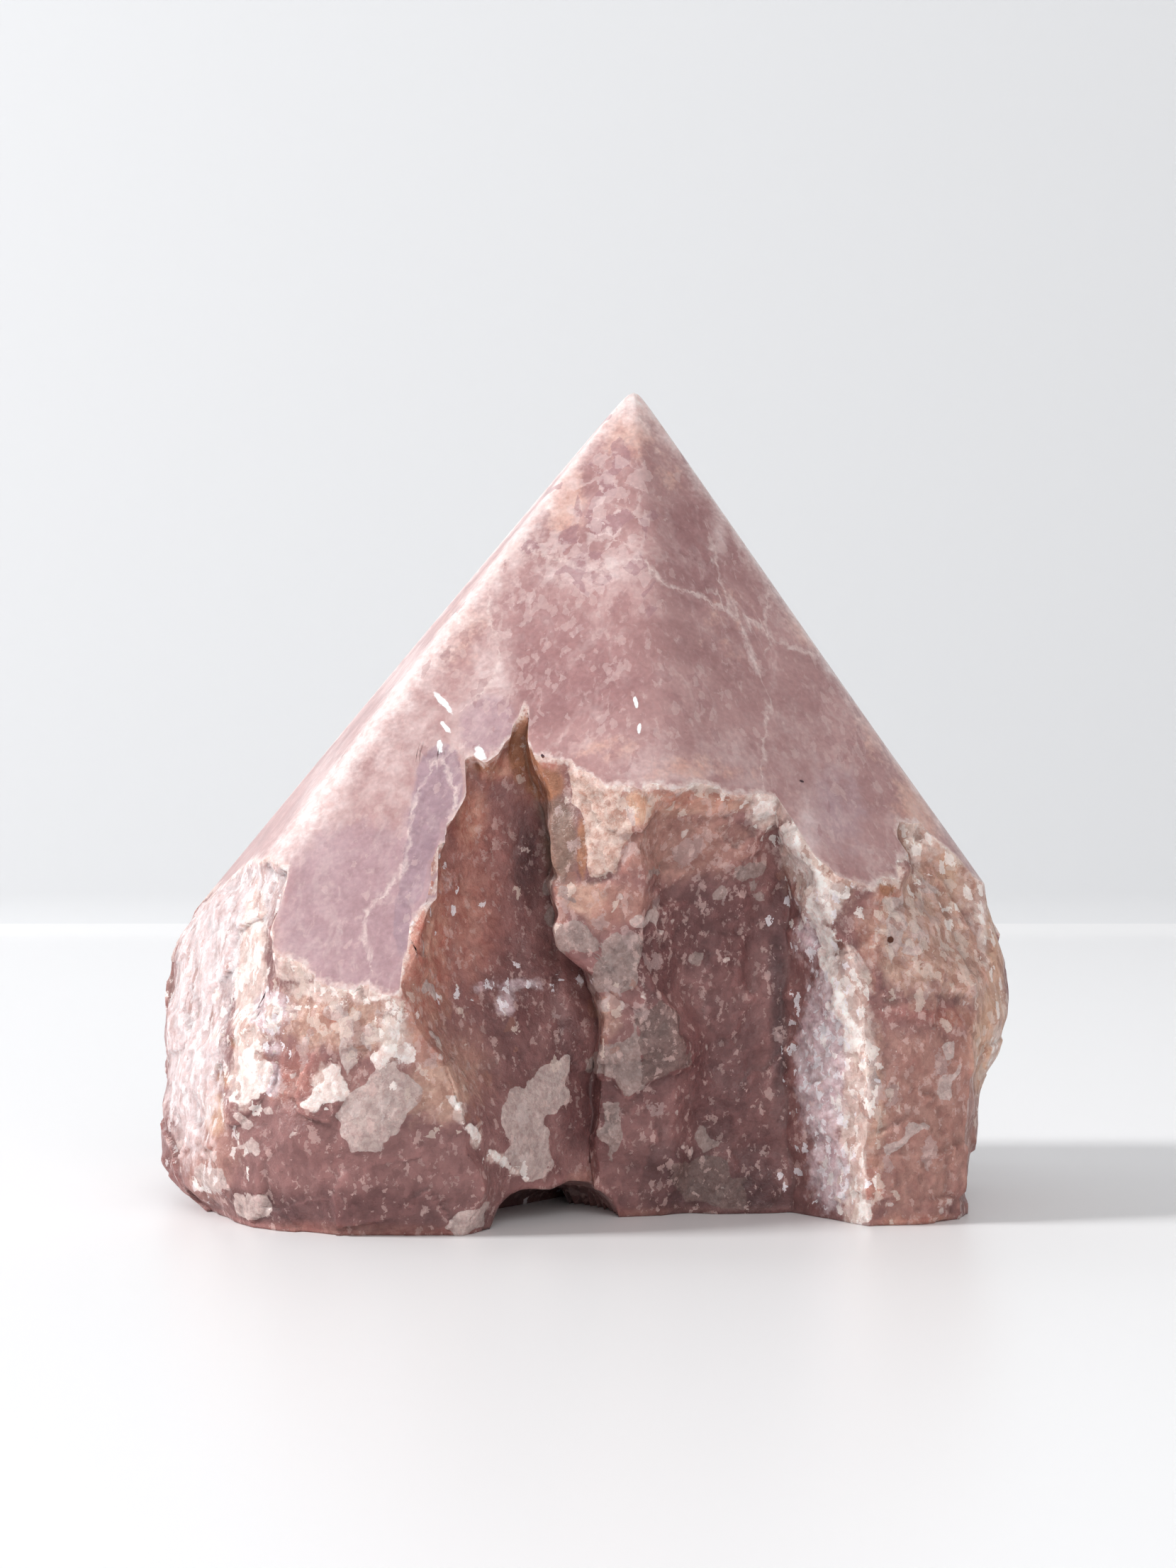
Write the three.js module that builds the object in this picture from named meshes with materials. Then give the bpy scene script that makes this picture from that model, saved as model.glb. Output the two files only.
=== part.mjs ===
// Pink opal point: a rough lump of stone, broken all round, with its top ground and polished to a point.
// Millimetres, Z up, front towards -Y, the flat base on Z = 0.
import * as THREE from "three";

// The polished point: its ridges all start at the tip. Each corner is where a ridge stands one
// millimetre below the tip, measured from the tip's own axis; the lines between corners are the facets.
const tip = { x: 4.4, y: 1.5, height: 76, bluntness: 0.8 };
const facetCorners = [
  [0.045, -0.64], [-0.735, -0.43], [-0.848, 0.03], [-0.47, 0.52], [0.4, 0.54], [0.716, -0.23],
];
const ridgeSharpness = 16;

// The broken body: lines that climb its sides, in order round the stone from the left rear, each a
// list of [height, x, y]. At a sharp line the surface breaks; at the others it bends over smoothly.
// `rough` says how much of the fracture's relief a line carries, where that isn't all of it.
// Above the polish each line leans out past the point, so the point alone shapes the stone there.
const sideLines = [
  { name: "left rear", sharp: false,
    path: [[0, -33, 8], [5, -37.8, 8], [14, -38.8, 8], [24, -37.5, 9], [32, -35, 9], [78, -36, 9]] },
  { name: "left flank", sharp: false,
    path: [[0, -34.5, -10], [4, -39.2, -7], [14, -38.9, -5], [22, -38.2, -3], [27, -35.6, -4],
      [30, -34.2, -4], [78, -36, -4]] },
  { name: "left shoulder", sharp: false,
    path: [[0, -33, -15], [4, -37.9, -11], [14, -35.6, -12.5], [22, -33.5, -12.5], [27.4, -31.6, -13.5],
      [30.2, -30.2, -13.2], [36, -30, -15], [78, -33, -16]] },
  { name: "left corner", sharp: true,
    path: [[0, -31, -19.5], [4, -35.3, -15.5], [9, -34, -17.2], [15, -31, -19], [21, -28.4, -20],
      [26, -27.6, -19.4], [31.5, -27, -18], [35, -27.5, -19], [78, -28, -30]] },
  { name: "edge of the left polish", sharp: true,
    path: [[0, -28.6, -22.5], [4, -32.6, -19.6], [9, -31, -21.2], [15, -28.8, -22.4], [20, -27, -22.6],
      [24, -26.6, -23.4], [30, -26.4, -24.5], [78, -26.4, -30]] },
  { name: "front of the left foot", sharp: false,
    path: [[0, -21.5, -26], [6, -22.5, -27.6], [14, -21.5, -27.3], [20.5, -20.3, -26.9],
      [25, -19.6, -28.5], [78, -19, -34]] },
  { name: "rim of the left hollow", rough: 0.35, sharp: true,
    path: [[0, -10.6, -26.6], [4, -9, -26.8], [8, -10, -27.4], [15, -12.6, -27.9], [21, -15.3, -28.2],
      [30, -15, -27.6], [38, -12.6, -26.4], [43, -10.4, -25.4], [47, -8.8, -26], [78, -9, -30]] },
  { name: "wall of the left hollow", rough: 0.3, sharp: false,
    path: [[0, -7, -21], [8, -7, -23], [15, -9.4, -22.4], [24, -12, -21], [33, -11.6, -18],
      [40, -9.8, -16.6], [45, -7.9, -17.6], [50, -7, -27], [78, -7, -30]] },
  { name: "floor of the left hollow", rough: 0.4, sharp: true,
    path: [[0, -0.5, -16.5], [8, 0.6, -16.4], [15, 1, -15.8], [21, 0.4, -14.5], [24, -2.1, -14.2],
      [33, -3.6, -13.4], [40, -5, -14], [45, -5.9, -17], [50, -6, -27], [78, -6, -30]] },
  { name: "lip of the ledge", rough: 0.6, sharp: true,
    path: [[0, 0.8, -17.6], [8, 1, -18.2], [15, 1.5, -19.6], [21.5, 1, -20.4], [24.2, -1.6, -20.6],
      [33, -3.2, -19.6], [40, -4.5, -18.4], [45, -5.6, -18.6], [50, -5.6, -27], [78, -5.6, -30]] },
  { name: "ledge between the hollows", sharp: true,
    path: [[0, 6.6, -16.2], [8, 7.6, -17.2], [15, 7.8, -18.4], [22, 5.2, -20.4], [28, 4.4, -21.6],
      [34, 4.6, -22.4], [39, 4.8, -22.8], [43, 4.8, -26], [78, 4.8, -30]] },
  { name: "wall of the right hollow", sharp: false,
    path: [[0, 9.2, -14.8], [8, 10.2, -15.2], [15, 10.2, -15.4], [22, 8.4, -16], [28, 7.4, -17],
      [34, 7.3, -18.6], [37.5, 7.4, -20.8], [41, 7.4, -25], [78, 7, -30]] },
  { name: "floor of the right hollow", sharp: false,
    path: [[0, 13, -14.8], [10, 13.4, -14.9], [22, 12.6, -14.6], [31, 11.8, -16.2], [37.5, 11.6, -19.6],
      [41, 11.6, -24], [78, 11, -30]] },
  { name: "valley of the right hollow", sharp: true,
    path: [[0, 18.6, -14.2], [8, 18, -14.2], [16, 17.6, -13.8], [26, 18, -13.2], [33, 16.9, -14.6],
      [37, 16.4, -17.4], [40, 16.4, -22], [78, 16, -30]] },
  { name: "ridge of the right block", sharp: true,
    path: [[0, 24.2, -21.6], [6, 23.8, -21.8], [13, 24.4, -21.8], [18, 24, -20.6], [24, 22.4, -18.9],
      [29, 20.6, -18.6], [34, 18.6, -20.4], [40, 18, -24], [78, 18, -30]] },
  { name: "face of the right block", sharp: false,
    path: [[0, 29, -20.6], [6, 29.2, -20.4], [13, 29.8, -20], [18, 29.4, -19.4], [24, 27.8, -17.6],
      [29, 27, -16.2], [32, 27.2, -17.2], [36, 28, -22], [78, 28, -30]] },
  { name: "right corner", sharp: true,
    path: [[0, 33, -18.2], [6, 33.6, -18.2], [13, 34, -17.8], [19, 34.1, -16.4], [25, 32.1, -13.4],
      [30, 29.8, -11.6], [34, 28.7, -10.8], [37, 29.5, -13], [78, 33, -30]] },
  { name: "right flank", rough: 0.5, sharp: false,
    path: [[0, 34.2, -9], [6, 35.2, -9], [11, 36.2, -8], [15, 38, -8], [18, 38.6, -8], [22, 38.2, -8],
      [26, 37.4, -7.5], [29.5, 36.6, -7.5], [36, 36, -8], [78, 36, -8]] },
  { name: "right rear", sharp: false,
    path: [[0, 34, 8], [12, 36.8, 9], [24, 37, 9], [34, 33, 9], [78, 33, 10]] },
  { name: "back right", sharp: false,
    path: [[0, 23, 22], [6, 26, 24], [14, 26.8, 24], [26, 25.5, 23], [34, 24, 24], [78, 24, 26]] },
  { name: "back", sharp: false,
    path: [[0, 3, 24.5], [6, 3.2, 27.2], [14, 3.5, 27.8], [24, 3, 26], [32, 3, 26], [78, 3, 30]] },
  { name: "back left", sharp: false,
    path: [[0, -20, 20.5], [6, -22.4, 23.5], [14, -23, 24.5], [26, -22, 22.5], [34, -22, 24],
      [78, -22, 26]] },
];
// The fracture: soft swells, and flat chips a few millimetres across that sit at slightly different depths.
const swells = [
  { depth: 0.32, across: [0.42, 0.31, 0.24], up: [-0.12, 0.27, 0.37] },
  { depth: 0.2, across: [0.83, -0.35, 0.4], up: [0.25, 0.62, -0.71] },
];
const chip = { size: 5.2, depth: 0.35, tilt: 0.08 };

// The arch worn under the front: half an ellipsoid.
const arch = { x: -3.4, y: -18, halfWidth: 6, halfDepth: 9, height: 3.2 };
const baseCentre = { x: 6, y: 6 };

// The core is the line that the stone's surface goes round: upright in the body, bending over to the tip.
const core = { x: -6, y: 2, bend: 46 };

// How finely the surface is divided.
const columnWidth = 2.1;
const brokenRows = 26;
const polishedRows = [0.1, 0.25, 0.42, 0.6, 0.78, 0.91, 0.98];
const baseRings = [0.94, 0.85, 0.76, 0.67, 0.58];
const lowestPolish = 8, highestPolish = 52, polishStep = 0.25;
const leastTurn = 0.002; // radians between neighbouring columns where the polish ends

const middle = { x: -0.7, y: 0.1 }; // the plan's middle, brought onto the origin

// A smooth curve through [height, ...] points that never overshoots them.
function along(path, axis, height) {
  const last = path.length - 1;
  const z = THREE.MathUtils.clamp(height, path[0][0], path[last][0]);
  const rise = (i) => path[i + 1][0] - path[i][0];
  const slope = (i) => (path[i + 1][axis] - path[i][axis]) / rise(i);
  const bend = (i) => {
    if (i === 0) return slope(0);
    if (i === last) return slope(last - 1);
    const before = slope(i - 1), after = slope(i);
    if (before * after <= 0) return 0;
    const a = 2 * rise(i) + rise(i - 1), b = rise(i) + 2 * rise(i - 1);
    return (a + b) / (a / before + b / after);
  };
  let i = 0;
  while (i < last - 1 && z >= path[i + 1][0]) i += 1;
  const h = rise(i), t = (z - path[i][0]) / h;
  return (2 * t ** 3 - 3 * t ** 2 + 1) * path[i][axis] + (t ** 3 - 2 * t ** 2 + t) * h * bend(i)
    + (3 * t ** 2 - 2 * t ** 3) * path[i + 1][axis] + (t ** 3 - t ** 2) * h * bend(i + 1);
}

// A side line by number, counting on round the stone past the last one and back before the first.
const sideLine = (i) => sideLines[(i + sideLines.length) % sideLines.length];
const lineAt = (i, height) => [1, 2].map((axis) => along(sideLine(i).path, axis, height));

// A point of the body between two side lines: curved through the lines on either side of the gap,
// unless a sharp line is in the way.
function sidePoint(line, part, height) {
  const a = lineAt(line, height), b = lineAt(line + 1, height);
  const before = lineAt(line - 1, height), after = lineAt(line + 2, height);
  return [0, 1].map((k) => {
    const p = sideLine(line).sharp ? 2 * a[k] - b[k] : before[k];
    const q = sideLine(line + 1).sharp ? 2 * b[k] - a[k] : after[k];
    return 0.5 * (2 * a[k] + (b[k] - p) * part + (2 * p - 5 * a[k] + 4 * b[k] - q) * part ** 2
      + (3 * a[k] - p - 3 * b[k] + q) * part ** 3);
  });
}

// A steady number from 0 to 1 for a cell of the fracture.
function chance(i, j, k, salt) {
  const s = Math.sin(i * 127.1 + j * 311.7 + k * 74.7 + salt * 41.3) * 43758.5453;
  return s - Math.floor(s);
}

// The depth of the chip a point falls on: the one whose centre is nearest.
function chipDepth(x, y, z) {
  const cell = [x, y, z].map((c) => Math.floor(c / chip.size));
  let nearest = Infinity, depth = 0;
  for (const di of [-1, 0, 1]) for (const dj of [-1, 0, 1]) for (const dk of [-1, 0, 1]) {
    const [i, j, k] = [cell[0] + di, cell[1] + dj, cell[2] + dk];
    const dx = x - (i + chance(i, j, k, 1)) * chip.size;
    const dy = y - (j + chance(i, j, k, 2)) * chip.size;
    const dz = z - (k + chance(i, j, k, 3)) * chip.size;
    const far = Math.hypot(dx, dy, dz);
    if (far >= nearest) continue;
    nearest = far;
    depth = chip.depth * (chance(i, j, k, 4) - 0.5)
      + chip.tilt * (dx * (chance(i, j, k, 5) - 0.5) + dz * (chance(i, j, k, 6) - 0.5)) * 2;
  }
  return depth;
}

// How far the broken surface stands out at a point.
function fracture(x, y, z) {
  const dot = (v) => v[0] * x + v[1] * y + v[2] * z;
  const swell = swells.reduce((sum, s) => sum + s.depth * Math.sin(dot(s.across)) * Math.cos(dot(s.up)), 0);
  return swell + chipDepth(x, y, z);
}

// A point of the broken surface: the body's point, moved in or out by the fracture.
function brokenPoint({ line, part }, height) {
  const look = 0.02;
  const [x, y] = sidePoint(line, part, height);
  const a = part > 0 ? sidePoint(line, part - look, height) : sidePoint(line - 1, 1 - look, height);
  const b = sidePoint(line, part + look, height);
  const run = Math.hypot(b[0] - a[0], b[1] - a[1]);
  const rough = (i) => sideLine(i).rough ?? 1;
  const out = (rough(line) * (1 - part) + rough(line + 1) * part) * fracture(x, y, height);
  return [x + (b[1] - a[1]) / run * out, y - (b[0] - a[0]) / run * out, height];
}

function coreAt(height) {
  const u = THREE.MathUtils.clamp((height - core.bend) / (tip.height - core.bend), 0, 1);
  return [0, 1].map((k) => THREE.MathUtils.lerp([core.x, core.y][k], [tip.x, tip.y][k], u * u));
}

// How far the polished point reaches from the core in a direction: as far as the nearest facet,
// blended with the next one where they meet.
function pointReach(angle, height) {
  const drop = tip.height - height;
  const spread = Math.sqrt(drop * drop + 2 * drop * tip.bluntness);
  const [cx, cy] = coreAt(height);
  const sum = facetCorners.reduce((total, [ax, ay], i) => {
    const [bx, by] = facetCorners[(i + 1) % facetCorners.length];
    const side = Math.hypot(bx - ax, by - ay);
    const nx = (ay - by) / side, ny = (bx - ax) / side;
    const distance = (nx * ax + ny * ay) * spread - nx * (cx - tip.x) - ny * (cy - tip.y);
    return total + Math.max((nx * Math.cos(angle) + ny * Math.sin(angle)) / distance, 0) ** ridgeSharpness;
  }, 0);
  return sum ** (-1 / ridgeSharpness);
}

function polishedPoint(angle, height) {
  const [cx, cy] = coreAt(height);
  const reach = pointReach(angle, height);
  return [cx + reach * Math.cos(angle), cy + reach * Math.sin(angle), height];
}

// Direction and distance of a point from the core.
function fromCore([x, y, z]) {
  const [cx, cy] = coreAt(z);
  return { angle: Math.atan2(y - cy, x - cx), reach: Math.hypot(x - cx, y - cy) };
}

// The columns of the surface: each gap between side lines is shared out into nearly equal widths.
function shareColumns() {
  return sideLines.flatMap((_, line) => {
    const gaps = [6, 16, 28].map((z) => {
      const a = lineAt(line, z), b = lineAt(line + 1, z);
      return Math.hypot(a[0] - b[0], a[1] - b[1]);
    });
    const count = Math.max(2, Math.round(Math.max(...gaps) / columnWidth));
    return Array.from({ length: count }, (_, i) => ({ line, part: i / count }));
  });
}

// The height at which a column of the broken surface comes out to the polished point.
function polishHeight(column) {
  const gap = (z) => {
    const { angle, reach } = fromCore(brokenPoint(column, z));
    return reach - pointReach(angle, z);
  };
  let low = gap(lowestPolish);
  for (let z = lowestPolish + polishStep; z <= highestPolish; z += polishStep) {
    const high = gap(z);
    if (high >= 0) return z - polishStep * high / (high - low);
    low = high;
  }
  throw new Error("a column never meets the polished point");
}

function archHeight(x, y) {
  const inside = 1 - ((x - arch.x) / arch.halfWidth) ** 2 - ((y - arch.y) / arch.halfDepth) ** 2;
  return arch.height * Math.sqrt(Math.max(inside, 0));
}

// All rows of the surface, from the middle of the base out to its edge, up the sides and to the tip.
function surfaceRows() {
  const columns = shareColumns();
  const tops = columns.map(polishHeight);
  let last = -Infinity;
  const angles = columns.map((column, i) => {
    let { angle } = fromCore(brokenPoint(column, tops[i]));
    while (angle < last - Math.PI) angle += 2 * Math.PI;
    last = Math.max(angle, last + leastTurn);
    return last;
  });
  const feet = columns.map((column) => {
    const [x, y] = brokenPoint(column, 0);
    return archHeight(x, y);
  });
  const sides = Array.from({ length: brokenRows }, (_, row) => columns.map((column, i) => {
    const point = brokenPoint(column, THREE.MathUtils.lerp(feet[i], tops[i], row / brokenRows));
    const { angle, reach } = fromCore(point);
    return reach > pointReach(angle, point[2]) ? polishedPoint(angle, point[2]) : point;
  }));
  const polished = [0, ...polishedRows].map((rise) => angles.map(
    (angle, i) => polishedPoint(angle, THREE.MathUtils.lerp(tops[i], tip.height, rise))));
  const base = baseRings.toReversed().map((share) => sides[0].map(([x, y]) => {
    const px = THREE.MathUtils.lerp(baseCentre.x, x, share);
    const py = THREE.MathUtils.lerp(baseCentre.y, y, share);
    return [px, py, archHeight(px, py)];
  }));
  return [...base, ...sides, ...polished];
}

// A closed surface from rows of points that run anticlockwise seen from above, closed at the bottom
// and at the top on one point each.
function closedSurface(rows, bottom, top) {
  const count = rows[0].length;
  const bottomCorner = rows.length * count, topCorner = bottomCorner + 1;
  const corners = [];
  for (let i = 0; i < count; i += 1) {
    const j = (i + 1) % count;
    corners.push(bottomCorner, j, i);
    for (let low = 0; low + count < bottomCorner; low += count) {
      corners.push(low + i, low + j, low + count + j, low + i, low + count + j, low + count + i);
    }
    corners.push(topCorner - 1 - count + i, topCorner - 1 - count + j, topCorner);
  }
  const geometry = new THREE.BufferGeometry();
  const points = [...rows.flat(2), ...bottom, ...top];
  geometry.setAttribute("position", new THREE.Float32BufferAttribute(points, 3));
  geometry.setIndex(corners);
  geometry.computeVertexNormals();
  return geometry;
}

const stone = new THREE.Mesh(
  closedSurface(surfaceRows(), [baseCentre.x, baseCentre.y, 0], [tip.x, tip.y, tip.height]),
  new THREE.MeshStandardMaterial({ color: "#c99fa0", roughness: 0.5, metalness: 0 }),
);
stone.name = "pink_opal_stone";
stone.position.set(-middle.x, -middle.y, 0);

const group = new THREE.Group();
group.add(stone);
export default group;
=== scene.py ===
import math
import bpy
import numpy as np
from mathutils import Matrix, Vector


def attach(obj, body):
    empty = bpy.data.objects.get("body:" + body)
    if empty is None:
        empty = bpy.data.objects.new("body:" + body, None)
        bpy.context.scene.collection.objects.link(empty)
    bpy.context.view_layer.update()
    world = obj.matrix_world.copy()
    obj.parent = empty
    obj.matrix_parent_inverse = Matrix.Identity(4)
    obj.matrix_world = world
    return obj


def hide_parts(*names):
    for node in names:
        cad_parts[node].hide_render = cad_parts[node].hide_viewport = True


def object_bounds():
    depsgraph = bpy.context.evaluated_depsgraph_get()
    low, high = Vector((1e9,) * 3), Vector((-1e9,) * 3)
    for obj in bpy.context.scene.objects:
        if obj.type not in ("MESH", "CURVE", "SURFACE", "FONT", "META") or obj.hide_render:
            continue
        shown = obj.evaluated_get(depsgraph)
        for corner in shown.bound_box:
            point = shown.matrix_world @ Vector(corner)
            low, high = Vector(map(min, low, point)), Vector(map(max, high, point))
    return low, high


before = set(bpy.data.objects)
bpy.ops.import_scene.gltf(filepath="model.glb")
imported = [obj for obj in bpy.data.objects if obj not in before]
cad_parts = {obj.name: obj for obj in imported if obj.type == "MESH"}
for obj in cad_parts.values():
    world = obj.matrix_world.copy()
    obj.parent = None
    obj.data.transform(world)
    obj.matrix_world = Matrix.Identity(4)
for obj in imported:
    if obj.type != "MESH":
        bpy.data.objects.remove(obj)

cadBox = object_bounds()
mm = 0.001
print("frame loaded, box", cadBox)

# the stone's form, in mm: a polished point over a broken body
stoneForm = {
    "tip": (4.4, 1.5, 76.0),
    "bluntness": 0.8,
    "facetCorners": [(0.045, -0.64), (-0.735, -0.43), (-0.848, 0.03), (-0.47, 0.52), (0.4, 0.54),
        (0.716, -0.23)],                   # x, y from the tip for each mm down
    "ridgeSharpness": 16,
    "core": (-14.5, 2.0, 41.0, 1.25),      # x, y, the height where it bends off to the tip, and how sharply
    "arch": (-3.4, -18.0, 6.0, 9.0, 3.2),  # x, y, half width, half depth, height
    "baseCentre": (6.0, 6.0),
    "middle": (-0.7, 0.1),
    "swells": [(0.32, (0.42, 0.31, 0.24), (-0.12, 0.27, 0.37)),
        (0.2, (0.83, -0.35, 0.4), (0.25, 0.62, -0.71))],  # depth, and two waves
    "chip": (5.2, 0.35, 0.08),             # size, depth, tilt
    "jags": (2.2, 0.14),                   # size, depth
    "lineWobble": [(3.4, 0.4), (1.5, 0.32)],  # size and depth, along the sharp side lines
    "edgeWobble": [(2.4, 0.7), (1.1, 0.45)],  # size and depth, along the edge of the polish
    "edgeUp": 0.7,                         # its share up and down
    "leanHeight": 1.4,                     # below the edge, over which the broken surface leans to meet it
    # the rim of the left hollow broke off in steps: x, z from its foot to the top of the notch
    "rimSteps": [(-14.9, 20.7), (-14.8, 22), (-14.4, 23.9), (-14.5, 25.2), (-14.2, 26.2), (-13.6, 27.4),
        (-13.1, 28.6), (-13, 30.1), (-13.4, 31.1), (-13.3, 32), (-12.7, 33), (-11.4, 33.2), (-11.3, 34.8),
        (-11.2, 35.5), (-10.6, 36.4), (-10.2, 37.3), (-10.1, 38.6), (-10.5, 39.2), (-10.6, 40.6),
        (-9.5, 40.9), (-8.7, 40.3), (-7.7, 41.1), (-7.1, 42.1), (-6.4, 42.7), (-6.5, 43.2), (-5.7, 44.5),
        (-5.35, 45.6), (-4.9, 45.1), (-4.5, 43.2)],
}

# lines up the broken sides: name, sharp, share of the fracture's relief, (height, x, y) points
sideLines = [
    ("left rear", False, 1.0, [
        (0, -33, 8), (5, -37.8, 8), (14, -38.8, 8), (24, -37.5, 9), (32, -35, 9), (78, -36, 9)]),
    ("left flank", False, 1.0, [
        (0, -34.5, -10), (4, -39.2, -7), (14, -38.9, -5), (22, -38.2, -3), (27, -35.6, -4), (30, -34.2, -4),
        (78, -36, -4)]),
    ("left shoulder", False, 1.0, [
        (0, -33, -15), (4, -37.9, -11), (14, -35.6, -12.5), (22, -33.5, -12.5), (27.4, -31.6, -13.5),
        (30.2, -30.2, -13.2), (36, -30, -15), (78, -33, -16)]),
    ("left corner", True, 1.0, [
        (0, -31, -19.5), (4, -35.3, -15.5), (9, -34, -17.2), (15, -31, -19), (21, -28.4, -20),
        (26, -27.6, -19.4), (31.5, -27, -18), (35, -27.5, -19), (78, -28, -30)]),
    ("edge of the left polish", True, 1.0, [
        (0, -28.6, -22.5), (4, -32.6, -19.6), (9, -31, -21.2), (15, -28.8, -22.4), (20, -27, -22.6),
        (24, -26.6, -23.4), (30, -26.4, -24.5), (78, -26.4, -30)]),
    ("front of the left foot", False, 1.0, [
        (0, -21.5, -26), (6, -22.5, -27.6), (14, -21.5, -27.3), (20.5, -20.3, -26.9), (25, -19.6, -28.5),
        (78, -19, -34)]),
    ("rim of the left hollow", True, 0.35, [
        (0, -10.6, -26.6), (4, -9, -26.8), (8, -10, -27.4), (15, -12.6, -27.9), (21, -15.3, -28.2),
        (30, -15, -27.6), (38, -12.6, -26.4), (43, -10.4, -25.4), (47, -8.8, -26), (78, -9, -30)]),
    ("wall of the left hollow", False, 0.3, [
        (0, -7, -21), (8, -7, -23), (15, -9.4, -22.4), (24, -12, -21), (33, -11.6, -18), (40, -9.8, -16.6),
        (45, -7.9, -17.6), (50, -7, -27), (78, -7, -30)]),
    ("floor of the left hollow", True, 0.4, [
        (0, -0.5, -16.5), (8, 0.6, -16.4), (15, 1, -15.8), (21, 0.4, -14.5), (24, -2.1, -14.2),
        (33, -3.6, -13.4), (40, -5, -14), (45, -5.9, -17), (50, -6, -27), (78, -6, -30)]),
    ("lip of the ledge", True, 0.6, [
        (0, 0.8, -17.6), (8, 1, -18.2), (15, 1.5, -19.6), (21.5, 1, -20.4), (24.2, -1.6, -20.6),
        (33, -3.2, -19.6), (40, -4.5, -18.4), (45, -5.6, -18.6), (50, -5.6, -27), (78, -5.6, -30)]),
    ("ledge between the hollows", True, 1.0, [
        (0, 6.6, -16.2), (8, 7.6, -17.2), (15, 7.8, -18.4), (22, 5.2, -20.4), (28, 4.4, -21.6),
        (34, 4.6, -22.4), (39, 4.8, -22.8), (43, 4.8, -26), (78, 4.8, -30)]),
    ("wall of the right hollow", False, 1.0, [
        (0, 9.2, -14.8), (8, 10.2, -15.2), (15, 10.2, -15.4), (22, 8.4, -16), (28, 7.4, -17),
        (34, 7.3, -18.6), (37.5, 7.4, -20.8), (41, 7.4, -25), (78, 7, -30)]),
    ("floor of the right hollow", False, 1.0, [
        (0, 13, -14.8), (10, 13.4, -14.9), (22, 12.6, -14.6), (31, 11.8, -16.2), (37.5, 11.6, -19.6),
        (41, 11.6, -24), (78, 11, -30)]),
    ("valley of the right hollow", True, 1.0, [
        (0, 18.6, -14.2), (8, 18, -14.2), (16, 17.6, -13.8), (26, 18, -13.2), (33, 16.9, -14.6),
        (37, 16.4, -17.4), (40, 16.4, -22), (78, 16, -30)]),
    ("ridge of the right block", True, 1.0, [
        (0, 24.2, -21.6), (6, 23.8, -21.8), (13, 24.4, -21.8), (18, 24, -20.6), (24, 22.4, -18.9),
        (29, 20.6, -18.6), (34, 18.6, -20.4), (40, 18, -24), (78, 18, -30)]),
    ("face of the right block", False, 1.0, [
        (0, 29, -20.6), (6, 29.2, -20.4), (13, 29.8, -20), (18, 29.4, -19.4), (24, 27.8, -17.6),
        (29, 27, -16.2), (32, 27.2, -17.2), (36, 28, -22), (78, 28, -30)]),
    ("right corner", True, 1.0, [
        (0, 33, -18.2), (6, 33.6, -18.2), (13, 34, -17.8), (19, 34.1, -16.4), (25, 32.1, -13.4),
        (30, 29.8, -11.6), (34, 28.7, -10.8), (37, 29.5, -13), (78, 33, -30)]),
    ("right flank", False, 0.5, [
        (0, 34.2, -9), (6, 35.2, -9), (11, 36.2, -8), (15, 38, -8), (18, 38.6, -8), (22, 38.2, -8),
        (26, 37.4, -7.5), (29.5, 36.6, -7.5), (36, 36, -8), (78, 36, -8)]),
    ("right rear", False, 1.0, [
        (0, 34, 8), (12, 36.8, 9), (24, 37, 9), (34, 33, 9), (78, 33, 10)]),
    ("back right", False, 1.0, [
        (0, 23, 22), (6, 26, 24), (14, 26.8, 24), (26, 25.5, 23), (34, 24, 24), (78, 24, 26)]),
    ("back", False, 1.0, [
        (0, 3, 24.5), (6, 3.2, 27.2), (14, 3.5, 27.8), (24, 3, 26), (32, 3, 26), (78, 3, 30)]),
    ("back left", False, 1.0, [
        (0, -20, 20.5), (6, -22.4, 23.5), (14, -23, 24.5), (26, -22, 22.5), (34, -22, 24), (78, -22, 26)]),
]

# how finely the surface is divided, in mm between columns and in rows
surfaceGrid = {
    "frontWidth": 0.4, "flankWidth": 0.52, "backWidth": 0.8,
    "rimWidth": 0.11,                      # where the edge of the polish climbs steeply
    "brokenRows": 114, "polishedRows": 56, "baseRings": 8,
    "leastTurn": 0.0004,                   # in radians, from column to column
    "rowEase": 0.7,                        # how much closer the polished rows are at both ends
}


def heightCurve(path, axis, height):
    # cubic pieces through the points of a path, with slopes that never overshoot them
    path = np.array(path)
    knots, values = path[:, 0], path[:, axis]
    rise = np.diff(knots)
    slope = np.diff(values) / rise
    a, b = 2 * rise[1:] + rise[:-1], rise[1:] + 2 * rise[:-1]
    same = slope[:-1] * slope[1:] > 0
    safe = np.where(same[:, None], np.stack([slope[:-1], slope[1:]], 1), 1.0)
    inner = np.where(same, (a + b) / (a / safe[:, 0] + b / safe[:, 1]), 0.0)
    bend = np.concatenate([slope[:1], inner, slope[-1:]])
    z = np.clip(height, knots[0], knots[-1])
    i = np.clip(np.searchsorted(knots, z, side="right") - 1, 0, len(rise) - 1)
    t = (z - knots[i]) / rise[i]
    return ((2 * t**3 - 3 * t**2 + 1) * values[i] + (t**3 - 2 * t**2 + t) * rise[i] * bend[i]
            + (3 * t**2 - 2 * t**3) * values[i + 1] + (t**3 - t**2) * rise[i] * bend[i + 1])


def lineWobble(line, height):
    # sharp lines wander from side to side by noise up their length
    if not sideLines[line][1]:
        return 0.0
    spot = np.stack([height, 0 * height + 17.3 * line, 0 * height], -1)
    return sum(depth * lumpNoise(spot, size, 23) for size, depth in stoneForm["lineWobble"])


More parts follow.
